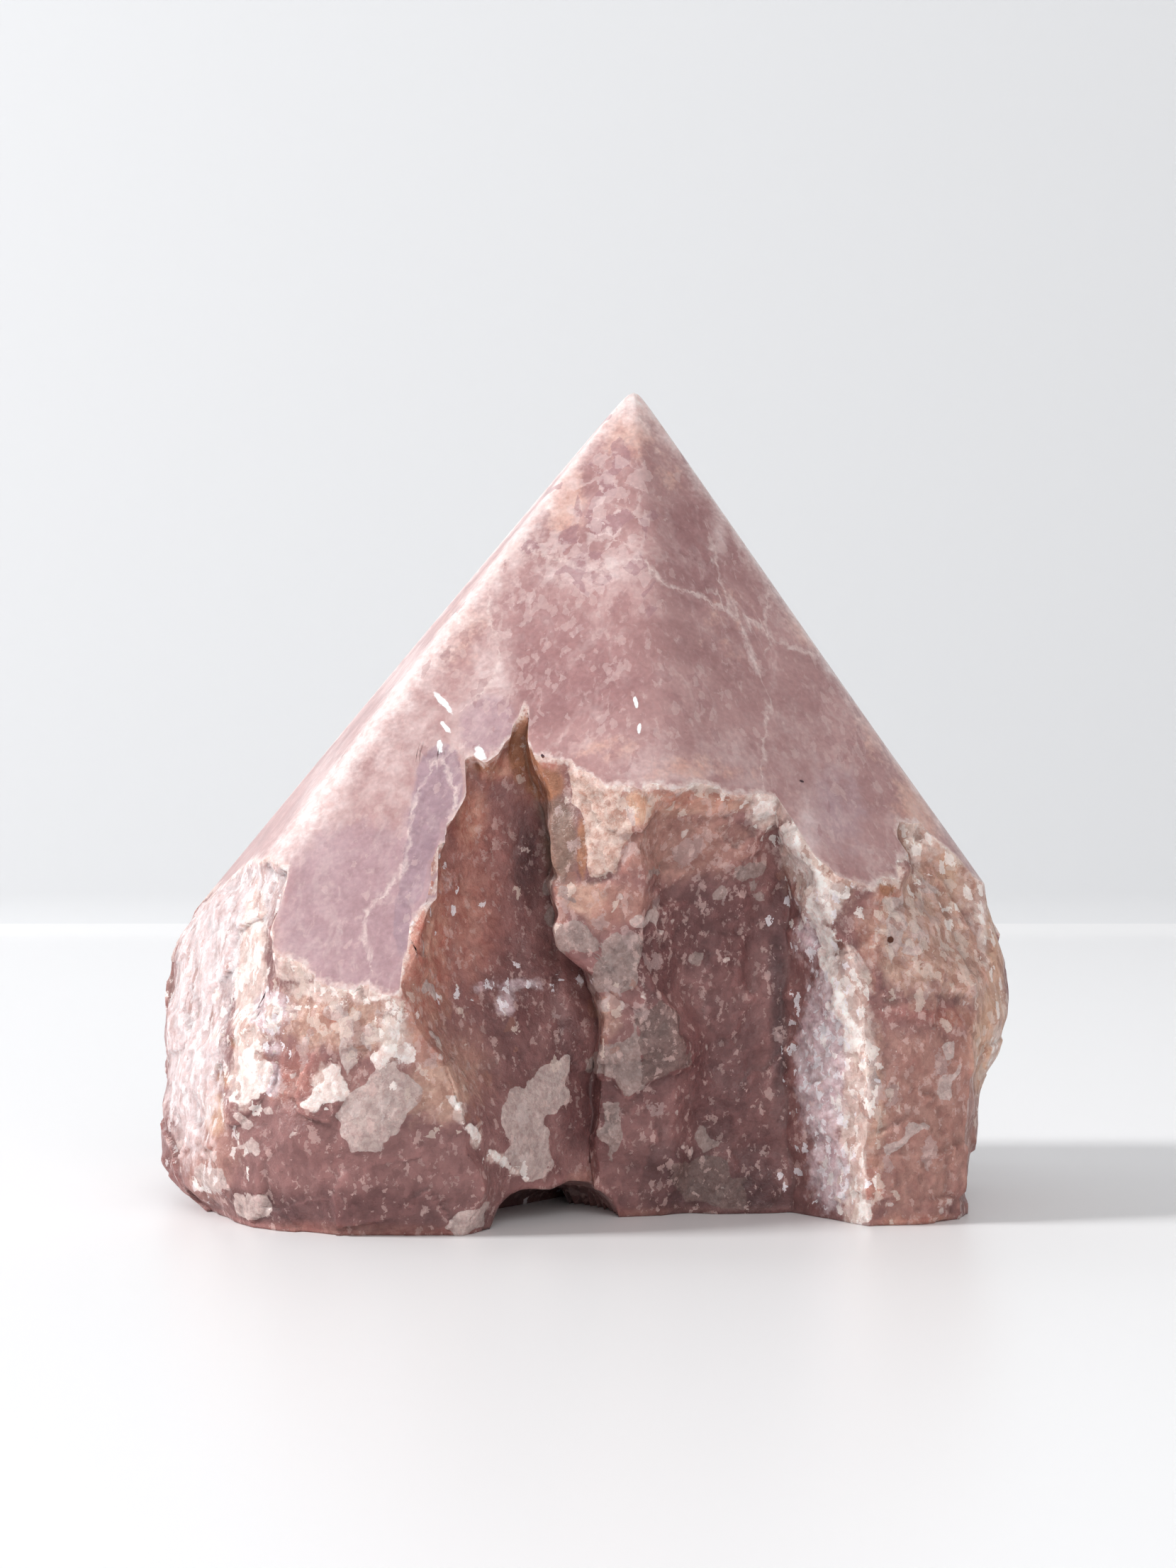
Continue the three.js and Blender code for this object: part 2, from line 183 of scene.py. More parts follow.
def sidePoints(line, part, height):
    # x, y between two side lines: a cubic through the lines on either side, straight on past a sharp line
    at = np.stack([np.stack([heightCurve(s[3], 1, height) + lineWobble(i, height),
                             heightCurve(s[3], 2, height)], -1) for i, s in enumerate(sideLines)])
    count, columns = len(sideLines), np.arange(height.shape[1])
    sharp = np.array([s[1] for s in sideLines])
    before, a, b, after = (at[(line + o) % count, :, columns].transpose(1, 0, 2) for o in (-1, 0, 1, 2))
    p = np.where(sharp[line][None, :, None], 2 * a - b, before)
    q = np.where(sharp[(line + 1) % count][None, :, None], 2 * b - a, after)
    t = part[None, :, None]
    return 0.5 * (2 * a + (b - p) * t + (2 * p - 5 * a + 4 * b - q) * t**2 + (3 * a - p - 3 * b + q) * t**3)


def chance(i, j, k, salt):
    # a steady number from 0 to 1 for each cell
    s = np.sin(i * 127.1 + j * 311.7 + k * 74.7 + salt * 41.3) * 43758.5453
    return s - np.floor(s)


def chipDepth(x, y, z, size, depth, tilt):
    # the depth of the nearest cell's flat, tilted chip
    cell = [np.floor(v / size) for v in (x, y, z)]
    nearest, found = np.full(x.shape, np.inf), np.zeros(x.shape)
    steps = [(a, b, c) for a in (-1, 0, 1) for b in (-1, 0, 1) for c in (-1, 0, 1)]
    for di, dj, dk in steps:
        i, j, k = cell[0] + di, cell[1] + dj, cell[2] + dk
        dx = x - (i + chance(i, j, k, 1)) * size
        dy = y - (j + chance(i, j, k, 2)) * size
        dz = z - (k + chance(i, j, k, 3)) * size
        far = np.sqrt(dx * dx + dy * dy + dz * dz)
        here = depth * (chance(i, j, k, 4) - 0.5) + tilt * 2 * (
            dx * (chance(i, j, k, 5) - 0.5) + dz * (chance(i, j, k, 6) - 0.5))
        found = np.where(far < nearest, here, found)
        nearest = np.minimum(nearest, far)
    return found


def lumpNoise(p, size, salt):
    # smooth noise from -1 to 1: chances at the corners of a cube grid, blended by a smooth step
    q = p / size
    low = np.floor(q)
    f = q - low
    f = f * f * (3 - 2 * f)
    total = 0.0
    for a in (0, 1):
        for b in (0, 1):
            for c in (0, 1):
                weight = (np.where(a, f[..., 0], 1 - f[..., 0]) * np.where(b, f[..., 1], 1 - f[..., 1])
                          * np.where(c, f[..., 2], 1 - f[..., 2]))
                total = total + weight * chance(low[..., 0] + a, low[..., 1] + b, low[..., 2] + c, salt)
    return total * 2 - 1


def betweenLines(values, line, part):
    # a number given for each side line, run evenly from one line to the next
    values = np.array(values)
    return values[line] * (1 - part) + values[(line + 1) % len(values)] * part


def brokenPoints(line, part, height):
    # the body's points moved in or out, level, by soft swells and flat chips
    p = sidePoints(line, part, height)
    look = 0.02
    ahead = sidePoints(line, part + look, height)
    behind = sidePoints(line, part - look, height)
    atLine = part == 0
    behind[:, atLine] = sidePoints(line[atLine] - 1, np.full(atLine.sum(), 1 - look), height[:, atLine])
    run = ahead - behind
    run /= np.linalg.norm(run, axis=-1, keepdims=True)
    share = betweenLines([s[2] for s in sideLines], line, part)
    x, y = p[..., 0], p[..., 1]
    out = chipDepth(x, y, height, *stoneForm["chip"])
    size, depth = stoneForm["jags"]
    out = out + depth / np.maximum(share, 0.3) * lumpNoise(np.stack([x, y, height], -1), size, 21)
    for depth, across, up in stoneForm["swells"]:
        out = out + depth * np.sin(across[0] * x + across[1] * y + across[2] * height) * np.cos(
            up[0] * x + up[1] * y + up[2] * height)
    out = out * share
    return np.stack([x + run[..., 1] * out, y - run[..., 0] * out, height], -1)


def coreAt(height):
    # the upright core line, bending over to the tip by a power of the height above its bend
    tipX, tipY, tipZ = stoneForm["tip"]
    x, y, bend, power = stoneForm["core"]
    u = np.clip((height - bend) / (tipZ - bend), 0, 1) ** power
    return x + (tipX - x) * u, y + (tipY - y) * u


def facetDepths(x, y, drop):
    # for each facet, its outward normal and how far inside it a point lies, this far below the tip
    tipX, tipY, _ = stoneForm["tip"]
    corners = stoneForm["facetCorners"]
    for (ax, ay), (bx, by) in zip(corners, corners[1:] + corners[:1]):
        side = math.hypot(bx - ax, by - ay)
        nx, ny = (ay - by) / side, (bx - ax) / side
        yield nx, ny, (nx * ax + ny * ay) * drop - nx * (x - tipX) - ny * (y - tipY)


def polishedPoints(angle, height):
    # from the core out to the nearest facet; a power sum over the facets rounds the ridges between them
    drop = np.maximum(stoneForm["tip"][2] - height, 0)
    spread = np.sqrt(drop * drop + 2 * drop * stoneForm["bluntness"])
    cx, cy = coreAt(height)
    power = stoneForm["ridgeSharpness"]
    total = 0.0
    for nx, ny, depth in facetDepths(cx, cy, spread):
        facing = nx * np.cos(angle) + ny * np.sin(angle)
        total = total + np.maximum(facing / np.maximum(depth, 1e-4), 0) ** power
    reach = total ** (-1 / power)
    return np.stack([cx + reach * np.cos(angle), cy + reach * np.sin(angle), height], -1), reach


def angleInFront(x, height):
    # the angle where the polished point has this x in front, by halving
    low, high = np.full(x.shape, -math.pi), np.zeros(x.shape)
    for _ in range(30):
        angle = (low + high) / 2
        tooFarLeft = polishedPoints(angle, height)[0][..., 0] < x
        low, high = np.where(tooFarLeft, angle, low), np.where(tooFarLeft, high, angle)
    return angle


def fromCore(p):
    cx, cy = coreAt(p[..., 2])
    dx, dy = p[..., 0] - cx, p[..., 1] - cy
    return np.arctan2(dy, dx), np.hypot(dx, dy)


def archHeight(x, y):
    # half an ellipsoid, with a ragged roof
    ax, ay, halfWidth, halfDepth, high = stoneForm["arch"]
    dome = np.sqrt(np.clip(1 - ((x - ax) / halfWidth) ** 2 - ((y - ay) / halfDepth) ** 2, 0, None))
    size, depth = fineRelief["archRoof"]
    return dome * (high + depth * lumpNoise(np.stack([x, y, 0 * x], -1), size, 71))


def shareColumns():
    # each gap between side lines is shared out into nearly equal widths, finest in front
    line, part = [], []
    names = [s[0] for s in sideLines]
    front = range(names.index("left corner"), names.index("right corner"))
    for i, name in enumerate(names):
        j = (i + 1) % len(names)
        gap = max(math.hypot(*(float(heightCurve(sideLines[i][3], a, z) - heightCurve(sideLines[j][3], a, z))
                               for a in (1, 2))) for z in (6, 16, 28))
        if name == "rim of the left hollow":
            width = surfaceGrid["rimWidth"]
        elif i in front:
            width = surfaceGrid["frontWidth"]
        elif name.startswith(("left", "right")) and name != "right rear":
            width = surfaceGrid["flankWidth"]
        else:
            width = surfaceGrid["backWidth"]
        count = max(6, round(gap / width))
        line += [i] * count
        part += [k / count for k in range(count)]
    return np.array(line), np.array(part)


def polishHeights(line, part):
    # where each column of the broken surface first comes out to the polished point
    z = np.arange(8, 52, 0.25)[:, None] + np.zeros(len(line))
    p = brokenPoints(line, part, z)
    angle, reach = fromCore(p)
    gap = reach - polishedPoints(angle, z)[1]
    first, columns = np.argmax(gap >= 0, 0), np.arange(len(line))
    low, high = gap[first - 1, columns], gap[first, columns]
    return z[first, columns] - 0.25 * high / (high - low)


# plates of crust, the grey ones darkened with painted shade, and of white crust on the front, as outlines in
# x, z
crustPlates = {
    "crust": [
        [(-17, 14.4), (-15.6, 14.9), (-15, 14.3), (-14.4, 13.9), (-13.6, 12.5), (-13.8, 11.5), (-14.8, 9.5),
         (-16.5, 8), (-16.6, 7.6), (-17.8, 7.2), (-19.1, 7.4), (-19.2, 8.1), (-20, 8.7), (-20.8, 10.3),
         (-20.1, 11.2), (-19, 12.7), (-18.3, 13.2)],
        [(-1, 14.3), (-2.3, 14), (-3.9, 13.4), (-4.4, 12.4), (-4.9, 11.6), (-5.7, 12.1), (-6.2, 11.7),
         (-6.7, 10.6), (-6.9, 9.4), (-6.3, 8.4), (-6.1, 7.5), (-6.4, 6), (-5.6, 4.8), (-4.1, 3.6),
         (-3, 4.1), (-2.5, 5.3), (-3, 7.3), (-2.9, 9.1), (-2.2, 9.2), (-1.2, 10.4), (-0.9, 11.7)],
        [(30.2, 8.9), (30.4, 8.3), (29.2, 7.6), (28.6, 6.9), (27.4, 6.2), (26.6, 6), (26.4, 6.8),
         (27.8, 7.8), (28.4, 8.6)],
        [(26.8, 27.8), (28.4, 28.2), (28.8, 26), (28.2, 24), (27.4, 22.4), (26.8, 22.8), (26.9, 25.4)],
        [(24.6, 14.4), (25.8, 14.2), (26.2, 12.6), (25.8, 10.2), (25, 9), (24.4, 10), (24.6, 12.4)],
        [(-34.6, 3.6), (-34, 4.6), (-31.2, 4.9), (-30.8, 3.2), (-31.6, 2.5), (-33.4, 2.6)],
        [(-30, 0.8), (-29.6, 2.6), (-27.4, 3), (-26.4, 2), (-26.8, 0.7)],
        [(-29.6, 6.8), (-28.6, 7.7), (-27.3, 7.4), (-27.3, 6.7), (-28.6, 6.6)],
        [(-32.7, 5.5), (-32.4, 6.4), (-31.5, 6.3), (-31.4, 5.6)],
        [(-30.2, 9.8), (-29, 10), (-28.2, 9), (-29, 8.7)],
        [(-28, 10.6), (-26.8, 11), (-26.2, 10), (-27.2, 9.7)],
        [(-24.6, 8.4), (-24.4, 8.8), (-23.6, 8.8), (-23.6, 8.4)],
        [(-9.2, 8.9), (-8.8, 9.6), (-7.4, 9.7), (-7.6, 9.1)],
        [(-11.5, 0.6), (-10.4, 2), (-8, 2.4), (-8.4, 0.6), (-10, 0)],
        [(-19.8, 16), (-19.4, 17.6), (-17.6, 18), (-17, 17), (-17.6, 15.8)],
    ],
    # crust darkened with painted shade, on the ledge and in the hollows
    "shadedCrust": [
        [(0, 13.4), (0, 14), (0.9, 14.5), (1.8, 14.6), (1.9, 15.8), (3.9, 15.7), (4.8, 17.4), (5.4, 16),
         (5.4, 12.2), (5, 11.3), (4.1, 10.8), (3.3, 12), (2.8, 12.8), (0.9, 12.8)],
        [(-2, 26), (0, 26.2), (1.6, 25), (1.8, 23.8), (1, 23.3), (-0.4, 23.7), (-1.6, 23.5), (-2.3, 24.6)],
        [(2, 25), (3.8, 25.2), (5.2, 25.6), (5.3, 23.4), (4.6, 21), (3.4, 20), (1, 20.2), (1.2, 22.4),
         (1.8, 23.6)],
        [(-3.3, 30), (-2, 30), (-2.1, 28.6), (-3, 28.4)],
        [(-0.5, 29.9), (-2, 29.6), (-2, 28.2), (-0.5, 28.2)],
        [(-2.9, 27.4), (-2.1, 27.2), (-2.2, 25.4), (-2.8, 25.8)],
        [(2, 10.2), (3.6, 10), (3.8, 7.5), (3, 4.4), (2.4, 5), (2, 7.5)],
        [(9.8, 6.4), (10.2, 8.2), (11.4, 8), (11.6, 6.8), (12.8, 6.4), (12.6, 5.4), (11, 5.4)],
        [(13.5, 31), (14.4, 31.6), (15.4, 31.5), (16.4, 32), (16.9, 31.4), (16.6, 30.2), (15, 30),
         (13.6, 30.2)],
        [(4.9, 30.5), (5.6, 30.9), (6.7, 31), (6.7, 30.4), (5.2, 30.2)],
        [(12.1, 28.4), (12.6, 29.3), (13.1, 28.7), (12.8, 28.2)],
        [(9.4, 23), (10.2, 23.2), (11, 23.2), (10.6, 22), (9.8, 22.4)],
        [(15.2, 29.6), (16.2, 29.2), (16.8, 27.8), (15.8, 27.6)],
    ],
    "shadeCrust": [
        [(6.8, 19.4), (8.1, 18.4), (8.5, 17.5), (8.6, 16.2), (9.4, 15.7), (9.3, 14.9), (9.8, 14.5),
         (9.6, 13.4), (7.8, 13), (6.6, 12.4), (5.5, 12.2), (5.4, 14.6), (5.2, 16), (4.9, 18.2), (6, 18.8)],
        [(8, 4.8), (9.8, 4.7), (10.9, 5.1), (12.1, 5.3), (13.4, 4.8), (13.7, 3.9), (14.6, 3), (14.9, 1.4),
         (14.4, 0.6), (9.3, 0.8), (8.6, 2.4)],
    ],
    "sugar": [
        [(-1, 39.4), (-0.7, 37), (0.2, 36), (0.5, 34), (0.5, 31), (0.8, 29.9), (1.6, 29.9), (2.5, 30.4),
         (3.3, 31.2), (3.4, 32.6), (3.9, 33.4), (4.6, 33.9), (4.5, 34.6), (3.8, 35.4), (3.5, 36.4),
         (4, 37.6), (6.8, 38.4), (7, 39.8), (3, 41), (0, 41)],
    ],
    "whiteCrustAndLitRidge": [
        [(-29.8, 14.4), (-28.2, 15.4), (-27.4, 14.7), (-26.4, 13.8), (-26.3, 12.7), (-27, 12.2),
         (-27.8, 12), (-27.5, 11.3), (-28.2, 10.7), (-29, 10.3), (-29.9, 10.5), (-31, 11.2), (-29.6, 11.3),
         (-29.4, 12.2), (-30, 12.7), (-29.6, 13.5)],
        [(-22, 13.9), (-20.9, 14.8), (-19.9, 13.8), (-19.3, 13), (-19.4, 12.2), (-20.2, 11.3),
         (-21.4, 10.9), (-22.8, 10.5), (-23.8, 10.8), (-23.7, 11.3), (-22.5, 11.8), (-22.4, 12.3),
         (-21.6, 13.1)],
        [(-16.3, 19.4), (-15.4, 19.4), (-14.4, 18.9), (-15.1, 18.1), (-15.4, 16.7), (-15.6, 15.3),
         (-17.2, 14.3), (-17.6, 15.2), (-16.8, 16.1), (-16.3, 17.9)],
        [(-17.5, 20.2), (-16.4, 20.8), (-16.2, 20), (-17, 19.8)],
        [(-11.3, 11.9), (-10.6, 11.7), (-9.9, 10.6), (-10.5, 10.7)],
        [(-9.7, 9.5), (-9, 9.2), (-8.4, 7.9), (-8.9, 8)],
        [(-7.8, 6.9), (-7, 6.4), (-4.6, 4), (-5.6, 4.4)],
        # over the crest of the right block the white is painted light as well as crust
        [(16, 38.6), (16.4, 38.4), (17.1, 36.8), (17.2, 35.6), (16.8, 35.9), (16.4, 37)],
        [(18.4, 35.3), (18.9, 34.2), (19.8, 32.9), (20.2, 31.6), (20.8, 30.5), (21.6, 29.8), (21.9, 28.6),
         (22.3, 27), (22.3, 26), (21, 26), (20.1, 27), (20, 28.4), (20, 29.5), (19.5, 30.5), (18.6, 31.1),
         (18.4, 32.1), (17.8, 33), (17.9, 34)],
        [(21.2, 25.6), (22.4, 25.8), (22.6, 24), (22.6, 22), (22.4, 20.6), (21.7, 20.8), (21.4, 22.4),
         (21.3, 24)],
        [(22.2, 20.6), (23.1, 19.6), (24, 17.6), (24.6, 15.2), (23.7, 14.9), (23.2, 16.6), (22.3, 18.6)],
        [(22.1, 29.5), (23.6, 29.3), (23.3, 28.5), (22.2, 28.6)],
        [(24.2, 1.8), (25, 1.7), (25.2, 0.4), (24.2, 0.1)],
    ],
}

# the upper part of the right block and the middle ledge stand a little proud of what is round them
proudParts = [
    [(25.6, 29.5), (29.5, 31), (32, 28.5), (34.6, 22), (35.4, 19.4), (25.2, 19.8)],
    [(-3.4, 30), (0.8, 29.8), (2.5, 30.2), (3.5, 31.2), (4.4, 33.2), (5.6, 32), (7, 31.2), (9.2, 30.4),
     (8, 29.3), (6.3, 28.2), (5.6, 27), (5, 26), (5.2, 23.4), (5.6, 20.4), (6.8, 19.5), (8.2, 18.5),
     (8.6, 16.2), (9.5, 15.6), (9.9, 14.4), (9.5, 13.2), (7.8, 12.9), (5.4, 12), (4.1, 10.7), (3, 12.2),
     (0, 13), (-1.6, 16), (-2, 22)],
]

# tints on the front, as soft ovals: x, z, half width, half height, strength
tintOvals = {
    # painted glow, warm orange, where light shines through thin edges and out along the base
    "paintedGlow": [(-13.4, 25, 2.4, 9.5, 1), (-3.6, 41.5, 2.6, 5, 1), (9.5, 37, 6.5, 1.6, 0.8),
        (27.2, 28.4, 1.2, 1.6, 1), (33, 32, 3, 4, 0.5), (33, 17.6, 2.2, 1, 0.8), (-18, 0.3, 9, 0.9, 0.6),
        (-21, 18.5, 1.6, 1.2, 0.7), (25, 3, 1.4, 4, 0.6), (-9.8, 35.5, 1.6, 3.5, 1),
        (-7.6, 40, 2.6, 1.4, 1.1), (-31.2, 12.4, 1, 0.6, 1.2), (10, 0.3, 8, 0.7, 0.8),
        (29, 0.3, 5, 0.7, 0.7), (-24.5, 12.5, 2.6, 3, 0.5), (2, 28, 1.6, 1.8, 0.5), (-10, 27, 3, 8, 0.6),
        (25.3, 25, 1.2, 3.2, 0.6), (-29.8, 15.6, 1, 0.6, 1.2), (36.8, 23, 1.6, 8, 0.6),
        (35, 14.5, 2.4, 4.2, 0.6)],
    "rosy": [(30, 9, 7, 9, 1), (-11, 14, 4, 3.4, 0.9), (-22, 13, 6, 3, 0.5), (-33, 6, 3.5, 5, 0.8),
        (0, 3, 2, 2, 0.5), (1.8, 27.4, 1.8, 2.4, 0.9), (3.6, 28, 2.4, 1.8, 1.1), (8.5, 33, 6, 3.2, 1.1)],
    # tan stain; along the right edge, x 34 to 37, it also paints the glow of the thin edge
    "tanAndEdgeGlow": [(30, 25, 5, 5.5, 1), (34, 31, 3.5, 5, 1.1), (22, 31, 3, 3.5, 0.9), (-20, 18, 8, 2.8, 0.8),
        (-12, 12.5, 3, 3, 0.8), (36.5, 16, 2.4, 6, 0.8), (25.5, 10, 1.4, 9, 0.6), (-6.6, 39.8, 2.2, 1, 0.7),
        (34.5, 22.5, 2.6, 4, 1), (33.5, 29.5, 3, 3.4, 1), (31.5, 34, 2.4, 3, 1.2), (36.4, 22, 1.3, 8, 1),
        (-18, 17.4, 2, 1.4, 0.6), (10, 36.8, 6, 1.2, 0.9), (0.2, 28.4, 2.4, 1.6, 0.8),
        (2.4, 18.4, 1.4, 2.4, 0.6)],
    # mauve of the fracture, deepened with painted shade in the hollows and near the base
    "mauveAndShade": [(1, 9.5, 3, 4.6, 0.9), (12, 25.5, 5.6, 5, 1), (12.5, 12, 5, 9, 0.8), (15.6, 4, 2.4, 4, 1),
        (17.6, 25, 1, 6, 1), (6.4, 23, 3, 4.5, 0.9), (6.4, 12.8, 3.6, 4.6, 0.7), (-18, 2.8, 9, 2.2, 0.7),
        (-1.4, 14.5, 2, 4, 0.9), (-5.6, 18, 4, 8, 0.65), (-27, 2, 5, 2, 0.8)],
    # painted shade near the base, in the valley of the right hollow and at the edge of the left hollow
    "paintedShade": [(12.5, 7, 4, 4, 0.5), (17.8, 18, 0.9, 12, 0.9), (-25, 1.6, 5, 1.8, 0.6),
        (-4.9, 31.5, 1.5, 5, 0.9), (-3.4, 0.6, 6.4, 2, 0.8), (-12.6, 1.2, 2.6, 1.5, 0.7),
        (-17, 0.4, 9, 1.2, 0.7), (-2.4, 29.5, 1.2, 4, 0.5), (8.4, 4, 4.4, 3, 0.9), (12, 1, 8, 3, 1.1)],
    # cream crust, and painted light on the crest and slope of the right block and along its right edge
    "creamAndLitRidge": [(16.6, 36, 1.8, 2, 0.9), (21.2, 28.2, 1.8, 3.2, 1), (23.6, 19, 1.8, 5, 1.1),
        (23.8, 7, 1.2, 10, 1), (-20, 20.6, 6, 1, 0.8), (-15.8, 17.5, 1.5, 3, 1), (35.2, 28, 2, 5, 0.5),
        (27, 31, 1.6, 1.4, 0.6), (-28.5, 18, 2, 4, 1), (-29, 13, 2, 2, 0.8), (-21.6, 13.2, 1.5, 1.6, 0.9),
        (32, 33, 1.8, 2.4, 0.6), (37, 14, 1.4, 3, 0.4), (-29, 20, 1.5, 9, 1.2), (36.6, 26, 0.9, 5, 0.8),
        (-21, 20.6, 5, 0.9, 0.9), (-24.6, 22.3, 1.8, 1, 1.2), (19.4, 32.4, 1.4, 2.6, 1.2),
        (24.4, 14, 1.2, 7, 1.1), (23.6, 19.6, 1.2, 2.4, 1.1), (10.5, 38.2, 5, 0.7, 0.8),
        (-10.2, 10.4, 0.7, 1, 0.8), (-8.8, 8.2, 0.6, 0.9, 0.8), (-7.2, 6.2, 0.9, 0.6, 0.8),
        (-5.6, 4.8, 0.8, 0.6, 0.8), (37.6, 14, 1.2, 5, 0.6), (30.4, 33.6, 0.7, 3, 1),
        (19.3, 32.6, 1.1, 2.6, 1.2)],
    "druse": [(20.4, 25, 1.6, 3.4, 0.7), (22, 4, 2, 4, 0.85), (-6, 20.6, 4.6, 0.9, 0.6),
        (-6.6, 19, 1.2, 1.8, 0.65), (-12, 29.5, 2, 2.2, 0.4), (-26.8, 18.6, 1.8, 1.8, 1.2),
        (-26.4, 15.4, 1.2, 1, 0.7), (-26.4, 12.9, 0.8, 1.5, 1.1), (21.2, 17, 1.2, 3, 0.9),
        (21.6, 14, 1.8, 9, 0.95), (20.7, 13, 1.5, 6, 1.1)],
    # chalky white patches, and painted glints above the ledge
    "chalkAndGlints": [(-26.4, 18.4, 1, 1.5, 0.9), (-14.6, 15.6, 1.2, 1.1, 0.8), (-33, 3, 2, 1.3, 0.7),
        (27.5, 27, 1, 2, 0.6), (16.2, 36, 0.9, 0.9, 1), (3.4, 39.4, 0.7, 0.6, 1), (5, 38.9, 0.7, 0.5, 1),
        (6.6, 39, 0.5, 0.6, 1)],
    "mottle": [(-19, 17.5, 6, 3.4, 0.9), (11, 32.5, 7, 3.4, 0.7), (30.5, 24.6, 4.4, 5.4, 1),
        (12, 3, 5, 3, 0.3), (30, 10, 5, 9, 0.3), (6, 24, 2, 6, 0.5), (2.6, 18, 1.6, 2.4, 0.5),
        (0.6, 28, 2.6, 2.2, 0.4), (21.5, 10, 3, 9, 0.15)],
    "flank": [(-35, 18, 3.6, 12, 1.2), (-31, 24.5, 3, 6, 0.9), (-30, 29, 3.4, 4, 1.2),
        (-26.8, 30.4, 1.4, 1.8, 1.2)],
    "pale": [(-8, 47.5, 2.4, 5, 0.8), (3.4, 58, 2.6, 1.4, 1), (-1.2, 57.6, 3.4, 1.2, 0.9),
        (-16, 42, 5, 10, 0.6), (-23, 35, 3, 8, 0.9), (-10.4, 43.4, 2.2, 3, 0.7), (19.5, 42, 4, 6, 0.4),
        (6, 40, 3, 3, 0.6), (13, 62, 0.9, 3, 0.8), (-29, 29, 3, 3, 0.8), (13.5, 41, 4, 3, 0.4),
        (-24.6, 25.2, 1.7, 1.6, 1.3), (-23, 23.6, 1.2, 0.8, 1.2), (-26.2, 28.6, 0.6, 3, 1),
        (-8.4, 43.6, 2.4, 2.8, 0.8), (22, 36, 5, 6, 0.5), (3.4, 73.5, 2.4, 3, 0.8), (15, 38.6, 3, 1.2, 0.6),
        (20.2, 34.2, 1.2, 3.5, 1), (8, 39.2, 6, 0.9, 0.6), (-17, 50, 2.6, 6, 0.9)],
    "deep": [(10.5, 60, 3.6, 6, 0.9), (-1, 47.5, 7, 5, 0.9), (-4.5, 51, 3, 6, 0.7), (21, 47, 4, 3, 0.4),
        (14, 51, 3.4, 4, 0.4)],
    "lilac": [(-19, 27.5, 7, 7, 1.1), (-12.6, 37, 2, 4, 1.2), (-14.4, 31, 1.6, 5, 1.1),
        (-8.2, 43.6, 2.6, 2.6, 1), (23, 36, 5, 7, 0.5)],
    "facet": [(-12.4, 38.4, 2, 3.2, 1.2), (-13.6, 35, 1.4, 3.6, 1.1), (-14.4, 31, 1.1, 3.2, 1),
        (-15.2, 27, 0.9, 3.6, 0.8)],
    # peach tone, and a painted glow at the thin right edge and along the edge of the polish
    "peachAndEdgeGlow": [(22.5, 53.5, 3.2, 3, 1), (31, 37, 3, 6, 0.8), (-1.5, 65.5, 2.2, 5, 0.9),
        (-11, 53, 3.4, 6, 0.6), (4.4, 74, 4, 5, 1.1), (8.4, 68, 2, 3, 0.6), (27.5, 44, 3, 5, 0.6),
        (14, 53, 5, 8, 0.4), (2.5, 41.4, 5, 1.6, 0.55), (9, 39.6, 6, 1.8, 0.6), (14.5, 39, 4, 1.4, 0.5)],
    "rust": [(-12.4, 30, 1.4, 3.4, 0.8), (30, 18.2, 5, 1, 1), (32.6, 22.2, 2, 1.8, 0.7),
        (-9.6, 29, 3.6, 9, 1.1), (25.3, 25, 1.4, 3.6, 1.1), (-24, 13.6, 2.4, 2.6, 1.1),
        (-23.6, 17.6, 1, 1.2, 1), (-20.2, 19, 1.5, 0.8, 0.9), (-18, 0.2, 11, 0.8, 1.2)],
    "apricot": [(37.4, 15, 2, 6, 1.1), (37.8, 23, 1.4, 7, 0.9), (5.1, 36.4, 1.2, 1.6, 1.2),
        (-32.2, 9.4, 1.3, 2, 1.1), (33.6, 31, 1.4, 3, 0.8), (27, 3, 2, 3, 0.3),
        (36.6, 14.5, 1.7, 4.5, 1.3)],
    "umber": [(-1.7, 33.4, 1.5, 3.6, 1.3), (-2.4, 36, 1.6, 1.6, 1)],
    "ochre": [(-5.4, 41.8, 1, 3, 1.3), (-3.4, 38.5, 1.6, 1.4, 1.1), (27, 29, 1, 0.7, 1),
        (-31.2, 12.3, 0.9, 0.6, 1.2), (-8.4, 40, 1.4, 0.8, 0.8), (0.2, 32.8, 0.45, 3.2, 1.1),
        (-3, 38.2, 1.6, 1.4, 1.2), (-29.8, 15.6, 0.9, 0.4, 1.1), (-4.4, 40.6, 0.9, 1.6, 1.2)],
    "cells": [(2.6, 63, 3.4, 5.4, 1.1), (-2.8, 60.6, 3, 2.2, 0.9), (-6, 55.5, 2, 2.6, 0.5)],
    "drips": [(-3, 53, 7, 5.5, 1.1), (0.5, 47, 8, 5, 0.8), (10, 45, 5, 6, 0.5), (15, 58, 2.4, 8, 0.5),
        (24, 44, 5, 6, 0.5), (23, 36, 4, 6, 0.4)],
}

# painted glints and dark specks (mostly painted shade in pits): x, z, half length, half width, turn in
# degrees down to the right
spotForm = {"y": -18, "halfDepth": 20, "ragged": 1.6, "edge": (1.95, 1.65), "far": 9}
paintedGlints = [(-12.3, 45.7, 1.3, 0.27, 47), (-12, 43.4, 0.6, 0.22, 47), (-12.5, 41.7, 0.6, 0.26, 85),
    (-8.9, 41.1, 0.6, 0.4, 60), (4.9, 45.6, 0.5, 0.2, 80), (5.2, 43.2, 0.45, 0.16, 95)]
darkSpecks = [(19.8, 38.6, 0.2, 0.1, 20), (-3.3, 40.8, 0.25, 0.15, 60), (27.3, 24.6, 0.3, 0.3, 0)]

